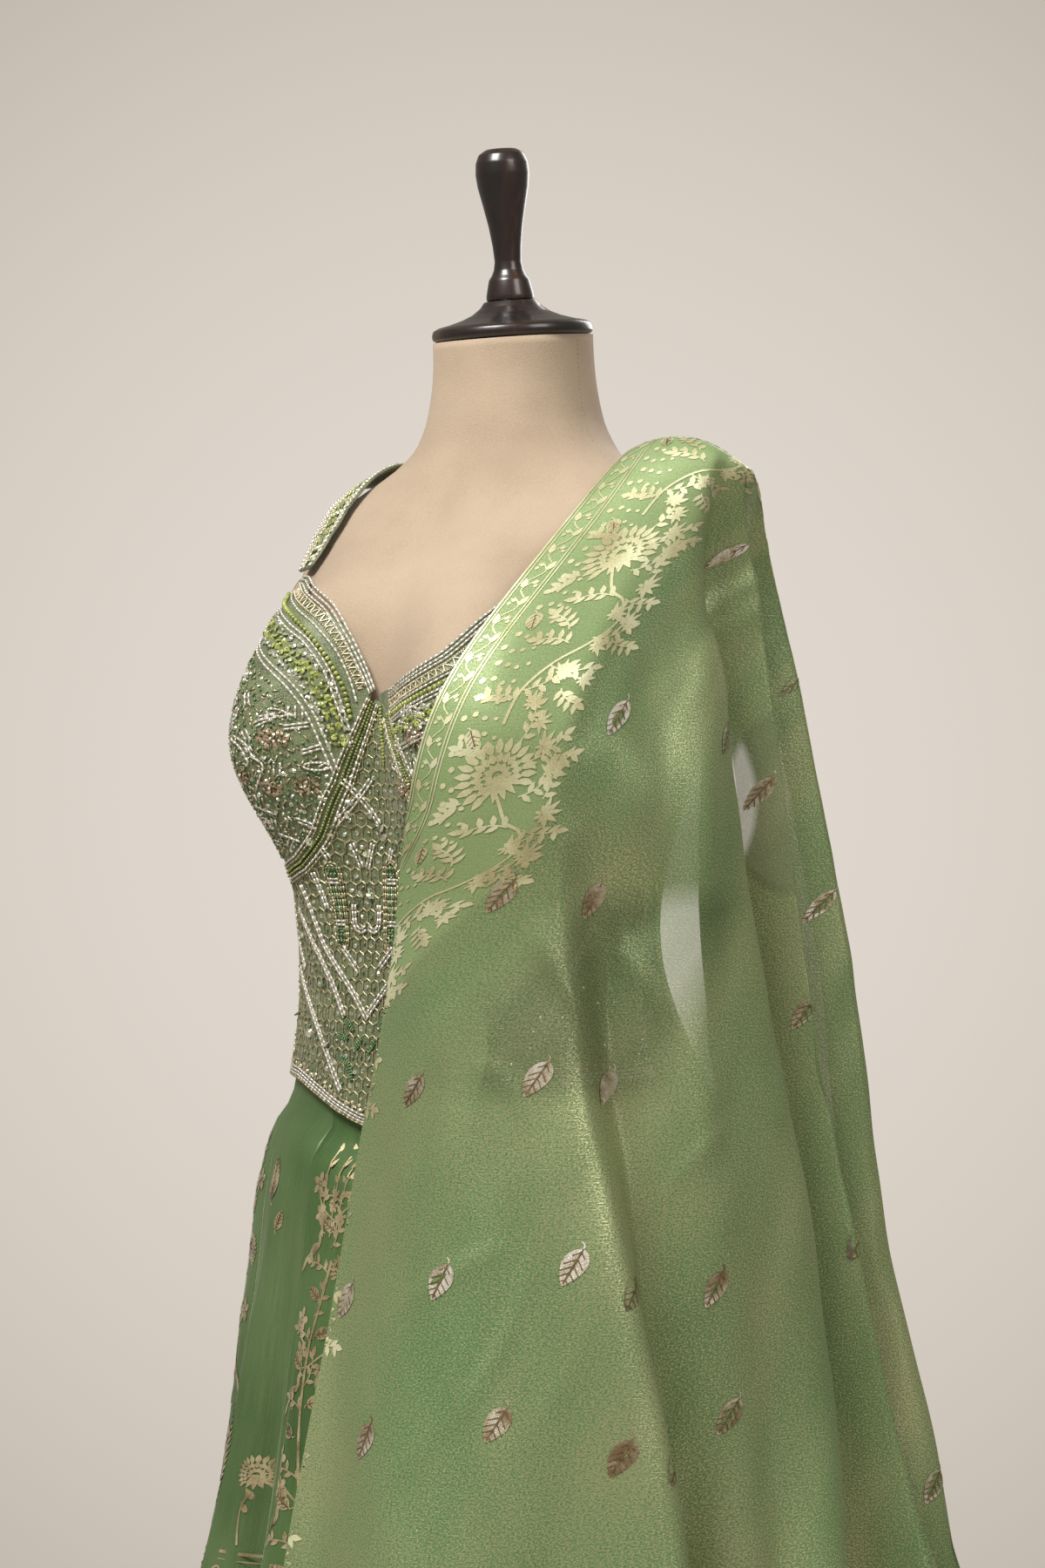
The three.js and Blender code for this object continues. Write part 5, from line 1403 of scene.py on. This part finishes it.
# Creases of the scarf: (distance from the inner border, distance from the front hem, height) at points
# along each, then the half width toward the inner border and toward the outer one. Ridges are positive.
DUPATTA_CREASES = [
    # the long soft fold of the front and the trough that runs beside it
    ([(78, 1000, 0), (115, 918, 6), (149, 840, 12), (179, 765, 17), (209, 693, 23), (242, 593, 30),
      (276, 470, 36), (308, 300, 39), (322, 100, 40), (330, 0, 40)], 56, 15),
    ([(112, 1010, 0), (148, 905, -6), (184, 815, -12), (222, 720, -20), (264, 610, -30), (310, 470, -40),
      (346, 300, -46), (370, 0, -48)], 20, 42),
    # broad soft swells and hollows of the front fall
    ([(30, 980, 0), (60, 860, 5), (96, 740, 8), (140, 600, 9), (180, 420, 9), (200, 200, 8),
      (206, 0, 8)], 46, 40),
    ([(120, 960, 0), (140, 930, -5), (170, 905, -5), (200, 880, 0)], 24, 18),
    ([(230, 1150, 0), (214, 1080, 6), (206, 1010, 7), (214, 950, 4), (230, 900, 0)], 34, 26),
    ([(120, 1120, 0), (150, 1050, -4), (168, 990, -6), (180, 940, -5), (200, 890, 0)], 20, 20),
    ([(400, 700, 0), (440, 560, -8), (470, 400, -12), (492, 200, -14), (502, 0, -14)], 16, 26),
    ([(300, 560, 0), (330, 430, -6), (352, 300, -8), (366, 0, -8)], 10, 16),
    # short creases where the cloth catches under the bust
    ([(120, 935, 0), (150, 900, 2.6), (176, 876, 2.8), (204, 848, 2.0), (226, 822, 0)], 4, 9),
    ([(96, 905, 0), (130, 866, 2.0), (168, 824, 1.8), (196, 800, 0)], 5, 8),
    ([(196, 930, 0), (176, 870, -3.0), (184, 800, -3.5), (210, 740, 0)], 16, 14),
    ([(60, 850, 0), (84, 790, 2.2), (92, 720, 2.4), (88, 640, 0)], 12, 20),
    # long folds that spread down the front from the shoulder
    ([(205, 1040, 0), (212, 960, 6), (238, 860, 7), (262, 760, 5), (290, 680, 0)], 26, 20),
    ([(150, 1060, 0), (160, 1000, 5), (172, 950, 5), (190, 900, 0)], 22, 16),
    ([(40, 900, 0), (60, 760, 4), (84, 600, 6), (104, 420, 7), (118, 200, 7), (122, 0, 7)], 40, 44),
    ([(10, 700, 0), (22, 560, -6), (34, 380, -9), (40, 160, -10), (42, 0, -10)], 20, 26),
    ([(180, 560, 0), (196, 430, -8), (214, 260, -12), (224, 0, -14)], 26, 30),
    ([(352, 760, 0), (392, 640, 6), (430, 500, 10), (452, 300, 13), (470, 0, 15)], 26, 22),
    ([(330, 700, 0), (352, 600, -5), (386, 480, -9), (404, 300, -12), (418, 0, -13)], 20, 18),
    ([(436, 640, 0), (470, 520, -6), (498, 360, -9), (516, 0, -11)], 16, 18),
    ([(300, 620, 0), (296, 560, 3), (300, 500, 4.5), (306, 430, 0)], 5, 12),
    ([(52, 620, 0), (86, 650, 1.0), (118, 672, 1.2), (146, 690, 0)], 5, 8),
    ([(118, 565, 0), (140, 606, 1.5), (152, 646, 1.4), (150, 686, 0)], 3, 7),
    ([(100, 560, 0), (118, 600, 1.0), (126, 640, 0)], 3, 6),
    ([(70, 520, 0), (104, 556, 1.0), (128, 600, 0)], 5, 9),
    ([(196, 640, 0), (186, 600, 1.2), (170, 560, 0)], 4, 8),
    ([(240, 700, 0), (262, 740, 1.4), (296, 768, 0)], 4, 7),
    ([(300, 800, 0), (322, 770, 1.6), (350, 750, 0)], 4, 8),
    ([(140, 760, 0), (120, 790, 1.4), (92, 806, 0)], 4, 7),
    ([(232, 1200, 0), (206, 1150, 1.4), (190, 1095, 2.2), (184, 1030, 0)], 10, 12),
    ([(60, 1180, 0), (78, 1120, 1.8), (90, 1060, 2.0), (96, 1010, 0)], 12, 14),
    # the layers behind, down the wearer's left side
    ([(560, 760, 0), (590, 620, 5), (612, 460, 7), (634, 240, 8), (650, 0, 9)], 16, 14),
    ([(700, 620, 0), (716, 460, -5), (734, 260, -7), (750, 0, -8)], 14, 14),
    ([(830, 420, 0), (850, 260, 6), (868, 120, 8), (880, 0, 9)], 18, 16),
    # the back fall
    ([(40, 1700, 0), (52, 1850, 4), (70, 2050, 7), (84, 2250, 9), (92, 2500, 9)], 14, 18),
    ([(150, 1760, 0), (176, 1950, -5), (206, 2150, -7), (232, 2350, -8), (244, 2520, -8)], 16, 16),
    ([(250, 2050, 0), (286, 2200, 6), (318, 2360, 8), (330, 2520, 9)], 16, 14)]


def crease_relief(points, inner_width, outer_width):
    """Height that one crease adds at each corner of the scarf's grid."""
    path = spline_rows(np.array(points, dtype=float), np.linspace(0, len(points) - 1, 6 * len(points)))
    best = np.full(cloth_x.shape, 1e9)
    side = np.zeros(cloth_x.shape)
    height = np.zeros(cloth_x.shape)
    for (x0, y0, h0), (x1, y1, h1) in zip(path, path[1:]):
        run_x, run_y = x1 - x0, y1 - y0
        share = np.clip(((cloth_x - x0) * run_x + (cloth_y - y0) * run_y) / (run_x ** 2 + run_y ** 2), 0, 1)
        gap_x, gap_y = cloth_x - x0 - share * run_x, cloth_y - y0 - share * run_y
        apart = np.hypot(gap_x, gap_y)
        nearer = apart < best
        best = np.where(nearer, apart, best)
        side = np.where(nearer, gap_x, side)
        height = np.where(nearer, h0 + share * (h1 - h0), height)
    return height * np.exp(-(best / np.where(side < 0, inner_width, outer_width)) ** 2)


relief = sum(crease_relief(*crease) for crease in DUPATTA_CREASES)
relief = relief + (6 * np.exp(-((cloth_y - 1035) / 60) ** 2) + 9 * np.exp(-((cloth_y - 965) / 60) ** 2)) \
    * np.clip((300 - cloth_x) / 120, 0, 1) * np.clip(0.4 + cloth_x / 50, 0, 1)
slack = np.clip((1180 - cloth_y) / 400, 0, 1) + np.clip((cloth_y - 1500) / 400, 0, 1)
relief = relief + slack * (
    1.5 * np.sin(cloth_x / 31 + 1.3 * np.sin(cloth_y / 170)) * np.sin(cloth_y / 118 + cloth_x / 140 + 0.6)
    + 0.8 * np.sin(cloth_x / 13 + 2.1 * np.sin(cloth_y / 90 + 1)) * np.sin(cloth_y / 61 + 0.4)
    + 0.35 * np.sin(cloth_x / 6.1 + cloth_y / 37) * np.sin(cloth_y / 23 - cloth_x / 44))
dupatta_points = dupatta_points + relief[:, :, None] * grid_normals(dupatta_points)
dupatta_normals = grid_normals(dupatta_points)


def on_scarf(x, y, lift):
    """Points and normals of the scarf at cloth places in millimetres."""
    x, y = np.asarray(x, dtype=float), np.asarray(y, dtype=float)
    row = np.clip(np.interp(y, along_lengths, np.arange(DUPATTA_ROWS + 1)), 0, DUPATTA_ROWS - 1e-6)
    low_row = row.astype(int)
    row_share = (row - low_row)[:, None]
    lengths = across_lengths[low_row] * (1 - row_share) + across_lengths[low_row + 1] * row_share
    column = np.array([np.interp(place, line, np.arange(DUPATTA_COLUMNS + 1))
                       for place, line in zip(x, lengths)])
    column = np.clip(column, 0, DUPATTA_COLUMNS - 1e-6)
    low_column = column.astype(int)
    column_share = (column - low_column)[:, None]

    def sampled(grid):
        near = grid[low_row, low_column] * (1 - column_share) + grid[low_row, low_column + 1] * column_share
        far = (grid[low_row + 1, low_column] * (1 - column_share)
               + grid[low_row + 1, low_column + 1] * column_share)
        return near * (1 - row_share) + far * row_share

    normals = sampled(dupatta_normals)
    return sampled(dupatta_points) + lift * normals, normals


def scarf_width(y):
    return np.interp(y, along_lengths, across_lengths[:, -1])


tissue = Finish("green_gold_tissue", (0.12, 0.22, 0.09), 0.42, Metallic=0.25, IOR=1.6, Anisotropic=0.5,
                Specular_Tint=(1.0, 0.95, 0.75, 1), Sheen_Weight=0.18, Sheen_Roughness=0.4,
                Sheen_Tint=(0.9, 0.95, 0.6, 1))
weft = tissue.noise(tissue.coordinates("UV", (0.03, 1, 1)), 1500, 2)
warp = tissue.noise(tissue.coordinates("UV", (1, 0.03, 1)), 1500, 2)
glitter = tissue.noise(tissue.coordinates("UV", (1, 1, 1)), 900, 3, 0.7)
cloud = tissue.noise(tissue.coordinates("UV", (1, 0.45, 1)), 13, 5)
place_x = tissue.node("ShaderNodeSeparateXYZ", {"Vector": tissue.coordinates("UV")}).outputs
border_share = tissue.rescale(place_x["X"], 0.088, 0.100, 1, 0)
threads = tissue.maths("ADD", weft, warp)
tone = tissue.maths("ADD", tissue.rescale(cloud, 0.3, 0.7, 0.40, 0.56),
                    tissue.rescale(glitter, 0.3, 0.7, -0.36, 0.36))
green_gold = tissue.ramp(tone, [(0.15, (0.05, 0.15, 0.05)), (0.45, (0.15, 0.27, 0.11)),
                                (0.60, (0.48, 0.48, 0.25)), (0.85, (0.86, 0.80, 0.52))])
border_green = tissue.ramp(tone, [(0.2, (0.15, 0.28, 0.10)), (0.7, (0.34, 0.43, 0.20))])
tissue.feed("Metallic", tissue.maths("MULTIPLY", tissue.rescale(tone, 0.42, 0.72, 0.12, 0.9),
                                     tissue.rescale(border_share, 0, 1, 1, 0.3)))
tissue.feed("Base Color", tissue.mix(border_share, green_gold, border_green))
tissue.feed("Roughness", tissue.maths("ADD", tissue.rescale(glitter, 0.3, 0.7, 0.46, 0.36),
                                      tissue.rescale(border_share, 0, 1, 0, 0.10)))


def thin_band(value, middle, half, soft):
    """1 within half of the middle, 0 beyond half and soft together."""
    apart = tissue.maths("ABSOLUTE", tissue.maths("SUBTRACT", value, middle), 0.0)
    return tissue.rescale(apart, half, half + soft, 1, 0)


# Two masks placed on the cloth's own UV map thin it. The rest of the tissue is kept nearly opaque.
slanted = tissue.maths("ADD", place_x["X"], tissue.maths("MULTIPLY", place_x["Y"], 0.565))
between_falls = tissue.maths("MULTIPLY", thin_band(place_x["Y"], 0.850, 0.055, 0.02),
                             thin_band(place_x["X"], 0.215, 0.04, 0.03))
from_middle_y = tissue.maths("DIVIDE", tissue.maths("SUBTRACT", place_x["Y"], 0.980), 0.066)
from_middle_x = tissue.maths("DIVIDE", tissue.maths("SUBTRACT", slanted, 0.915), 0.046)
between_pleats = tissue.rescale(tissue.maths(
    "ADD", tissue.maths("MULTIPLY", from_middle_y, from_middle_y),
    tissue.maths("MULTIPLY", from_middle_x, from_middle_x)), 0.85, 1.08, 1, 0)
thinness = tissue.maths("ADD", tissue.maths("MULTIPLY", between_falls, 0.34),
                        tissue.maths("MULTIPLY", between_pleats, 0.66))
tissue.feed("Alpha", tissue.maths("SUBTRACT", tissue.rescale(threads, 0.7, 1.3, 0.92, 1.0), thinness))
tissue.bump(tissue.maths("ADD", threads, glitter), 0.35, 0.0004)


def turned_under(y):
    """Width of the inner border that is rolled to the back of the front fall at a place along it."""
    share = np.clip((985 - y) / 185, 0, 1)
    return 104 * share * share * (3 - 2 * share)


def scarf_uv(u, v):
    row, column = np.rint(v * DUPATTA_ROWS).astype(int), np.rint(u * DUPATTA_COLUMNS).astype(int)
    x = across_lengths[row, column]
    x = x + turned_under(along_lengths[row]) * np.clip(1 - x / 400, 0, 1)
    return x * MM, along_lengths[row] * MM


dupatta = add_piece("dupatta", grid_sheet(
    DUPATTA_COLUMNS, DUPATTA_ROWS,
    lambda u, v: dupatta_points[np.rint(v * DUPATTA_ROWS).astype(int),
                                np.rint(u * DUPATTA_COLUMNS).astype(int)], scarf_uv), [tissue])
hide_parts("dupatta_front_fall", "dupatta_shoulder", "dupatta_back_fall")

# ---- Dupatta figures ------------------------------------------------------------------------------
# Woven along both long edges: thin gold lines, a narrow vine between them, then along the inner edge a
# field of dots, sprigs and many-petalled blooms on a running stem. Over the rest, single leaves in a
# half-drop repeat. All of it is cut gold and silver weft that stands a thread above the tissue.
pale_zari = Finish("pale_gold_zari", (0.62, 0.60, 0.34), 0.40, Metallic=0.40, Sheen_Weight=0.3)
pale_tone = pale_zari.noise(pale_zari.coordinates("Object"), 26, 3)
pale_grain = pale_zari.noise(pale_zari.coordinates("Object", (1, 1, 2.5)), 1000, 2)
pale_zari.feed("Base Color", pale_zari.ramp(
    pale_zari.maths("ADD", pale_tone, pale_zari.rescale(pale_grain, 0.3, 0.7, -0.12, 0.12)), [
        (0.30, (0.42, 0.38, 0.19)), (0.5, (0.64, 0.63, 0.36)), (0.7, (0.80, 0.82, 0.54))]))
pale_zari.bump(pale_grain, 0.4, 0.0003)
silver_zari = Finish("silver_bronze_zari", (0.60, 0.56, 0.44), 0.36, Metallic=0.65)
silver_tone = silver_zari.noise(silver_zari.coordinates("Object"), 48, 3)
silver_grain = silver_zari.noise(silver_zari.coordinates("Object", (1, 1, 2.5)), 1000, 2)
silver_zari.feed("Base Color", silver_zari.ramp(
    silver_zari.maths("ADD", silver_tone, silver_zari.rescale(silver_grain, 0.3, 0.7, -0.12, 0.12)), [
        (0.34, (0.24, 0.17, 0.09)), (0.5, (0.52, 0.46, 0.32)), (0.64, (0.82, 0.80, 0.70))]))
silver_zari.bump(silver_grain, 0.5, 0.0004)

CLOTH_LENGTH = along_lengths[-1]
border = Figures()
even_run = np.arange(2, CLOTH_LENGTH - 2, 11.0)
for offset, width in ((0.8, 1.4), (3.4, 0.9), (18.2, 0.9), (20.6, 0.9)):
    border.stem([(offset, y) for y in even_run], width, 2)
for step, y in enumerate(np.arange(8, CLOTH_LENGTH - 14, 14.0)):
    side = 1 if step % 2 else -1
    middle = 10.8
    border.stem([(middle - side * 3, y - 7), (middle + side * 3.4, y), (middle - side * 3, y + 7)], 0.8, 4)
    border.petal(middle + side * 3.0, y + 1, 90 - side * 20, 8.0, 4.6)
    border.dot(middle - side * 4.2, y + 2.5, 2.6)
    border.petal(middle - side * 1.0, y + 4, 90 + side * 60, 4.6, 2.2)
BLOOM_REPEAT = 158.0
for repeat in range(17):
    base = 22 + (repeat - 0.45) * BLOOM_REPEAT
    if base < -40 or base > CLOTH_LENGTH - 60:
        continue
    border.blossom(56, base + 100, 46, -62)
    border.stem([(58, base + 88), (70, base + 70), (84, base + 62), (90, base + 46), (80, base + 30),
                 (64, base + 16), (52, base - 4), (50, base - 26)], 1.9, 4)
    for x, y, size, turn in ((92, base + 74, 20, 10), (84, base + 52, 17, 40), (98, base + 46, 18, 80),
                             (86, base + 28, 16, 20), (74, base + 8, 18, 60), (90, base + 4, 15, 10),
                             (80, base + 118, 19, 30), (90, base + 100, 18, 70), (72, base + 134, 15, 0),
                             (62, base - 12, 15, 50)):
        border.flower(x, y, size * 0.62, 7, turn)
        for fan in range(5):
            border.petal(x, y, turn + 36 * fan - 72, size * 0.62, size * 0.17)
    for x, y, heading, length in ((72, base + 86, 15, 26), (84, base + 64, -30, 22), (80, base + 34, -5, 24),
                                  (62, base + 14, -28, 30), (52, base - 4, 10, 28), (60, base + 40, 120, 20),
                                  (74, base + 66, 160, 24), (52, base - 10, 150, 18),
                                  (70, base + 108, 12, 28),
                                  (64, base + 122, 60, 24), (46, base + 112, 140, 16),
                                  (88, base + 84, 60, 22), (94, base + 34, -40, 20), (66, base + 30, 150, 22),
                                  (78, base - 2, -60, 18), (84, base + 108, -10, 18),
                                  (40, base + 82, 200, 12)):
        border.sprig(x, y, heading, length, 7, 8.0)
    border.leaf(30, base + 52, -70, 14, 10, 4)
    border.leaf(33, base + 128, -60, 13, 9, 4)
    for row in range(14):
        for column in range(4):
            x = 26.0 + column * 6.2 + 3.0 * (row % 2)
            y = base + 2 + row * 11.2 + 1.6 * math.sin(column * 2.1 + row)
            if math.hypot(x - 56, y - base - 100) > 24 and math.hypot(x - 31, y - base - 46) > 8:
                border.dot(x, y, 4.1 - 0.45 * column)


def border_surface(x, y, rise):
    """Puts border figures on the edge, and under it where the border is rolled to the back."""
    shown = x - turned_under(y)
    behind = shown < 0
    top = on_scarf(np.abs(shown), y, 0.4)[0]
    under, normals = on_scarf(np.minimum(np.abs(shown), 104), y, 0)
    rolled = under - normals * np.minimum(1.9, 0.25 + 0.35 * np.abs(shown))[:, None]
    return np.where(behind[:, None], rolled, top) + 0 * normals * np.asarray(rise)[:, None]


def turned_points(inset, y):
    points, normals = on_scarf(inset, y, 0)
    return points - normals * np.minimum(1.4, 0.2 + 0.4 * inset)[:, None]


border_piece = border.make("dupatta_border", border_surface, "tissue", [pale_zari, dark_zari])
hidden_rows = np.flatnonzero(along_lengths < 985)[-1]
turn_under_piece = add_piece("dupatta_turned_edge", grid_sheet(
    16, hidden_rows,
    lambda u, v: turned_points(u * turned_under(along_lengths[np.rint(v * hidden_rows).astype(int)]),
                               along_lengths[np.rint(v * hidden_rows).astype(int)]),
    lambda u, v: (0.05 + 0 * u, along_lengths[np.rint(v * hidden_rows).astype(int)] * MM)),
    [tissue])

outer = Figures()
for offset, width in ((0.9, 1.7), (3.6, 0.9), (13.6, 0.9), (15.8, 1.2)):
    outer.stem([(scarf_width(y) - offset, y) for y in even_run], width, 2)
for step, y in enumerate(np.arange(8, CLOTH_LENGTH - 14, 14.0)):
    edge = scarf_width(y) - 8.6
    side = 1 if step % 2 else -1
    outer.stem([(edge - side * 2, y - 7), (edge + side * 2.4, y), (edge - side * 2, y + 7)], 0.8, 4)
    outer.petal(edge + side * 1.6, y + 1, 90 - side * 20, 6.6, 3.6)
    outer.dot(edge - side * 3.0, y + 2.5, 2.0)
for hem_y in (1.2, 5.0, 26.0, 30.0,
              CLOTH_LENGTH - 1.2, CLOTH_LENGTH - 5, CLOTH_LENGTH - 26, CLOTH_LENGTH - 30):
    across_run = np.linspace(1, scarf_width(hem_y) - 1, 90)
    outer.stem([(x, hem_y) for x in across_run], 1.4, 1)
for end_y, heading in ((9.0, 90), (CLOTH_LENGTH - 9.0, -90)):
    for x in np.arange(30, scarf_width(end_y) - 22, 22.0):
        outer.leaf(x, end_y, heading, 13, 10, 4)
        outer.dot(x + 11, end_y + math.copysign(7, heading), 3.2)
outer_piece = outer.make("dupatta_outer_border", lambda x, y, rise: on_scarf(x, y, 0.4)[0], "tissue",
                         [pale_zari, dark_zari])

# Leaves: distance from the inner border and from the front hem.
LEAVES = [(162, 1162), (128, 1036), (384, 1066), (228, 1022), (334, 985), (80, 918), (143, 914), (359, 901),
          (500, 905), (452, 832), (56, 785), (137, 795), (189, 790), (411, 766), (104, 660), (183, 672),
          (223, 655), (300, 652), (536, 668), (14, 642), (60, 556), (150, 571), (226, 548), (262, 540),
          (330, 566), (610, 540), (690, 490)]
leaves = Figures()
for row in range(6):
    y = 66 + 68 * row
    for column in range(11):
        x = 60 + 42 * (row % 2) + 84 * column
        if x < scarf_width(y) - 40:
            leaves.leaf(x + 3 * math.sin(column * 2.2 + row), y + 3 * math.sin(row * 3.1 + column),
                        -112, 25, 16)
for row in range(18):
    y = 1470 + 62 * row
    for column in range(6):
        x = 128 + 40 * (row % 2) + 80 * column
        if x < scarf_width(y) - 30 and y < CLOTH_LENGTH - 50:
            leaves.leaf(x, y + 3 * math.sin(row * 3.1 + column), 68, 25, 16)
for step, (x, y) in enumerate(LEAVES):
    lean = 4 * math.sin(step * 2.3)
    heading = math.radians(-112 + lean)
    leaves.leaf(x - 12 * math.cos(heading), y - 12 * math.sin(heading), -112 + lean, 25, 16)


def leaf_surface(x, y, rise):
    points, normals = on_scarf(x, y, 0.45)
    return points + normals * rise[:, None]


leaf_piece = leaves.make("dupatta_leaves", leaf_surface, "tissue", [silver_zari, dark_zari])
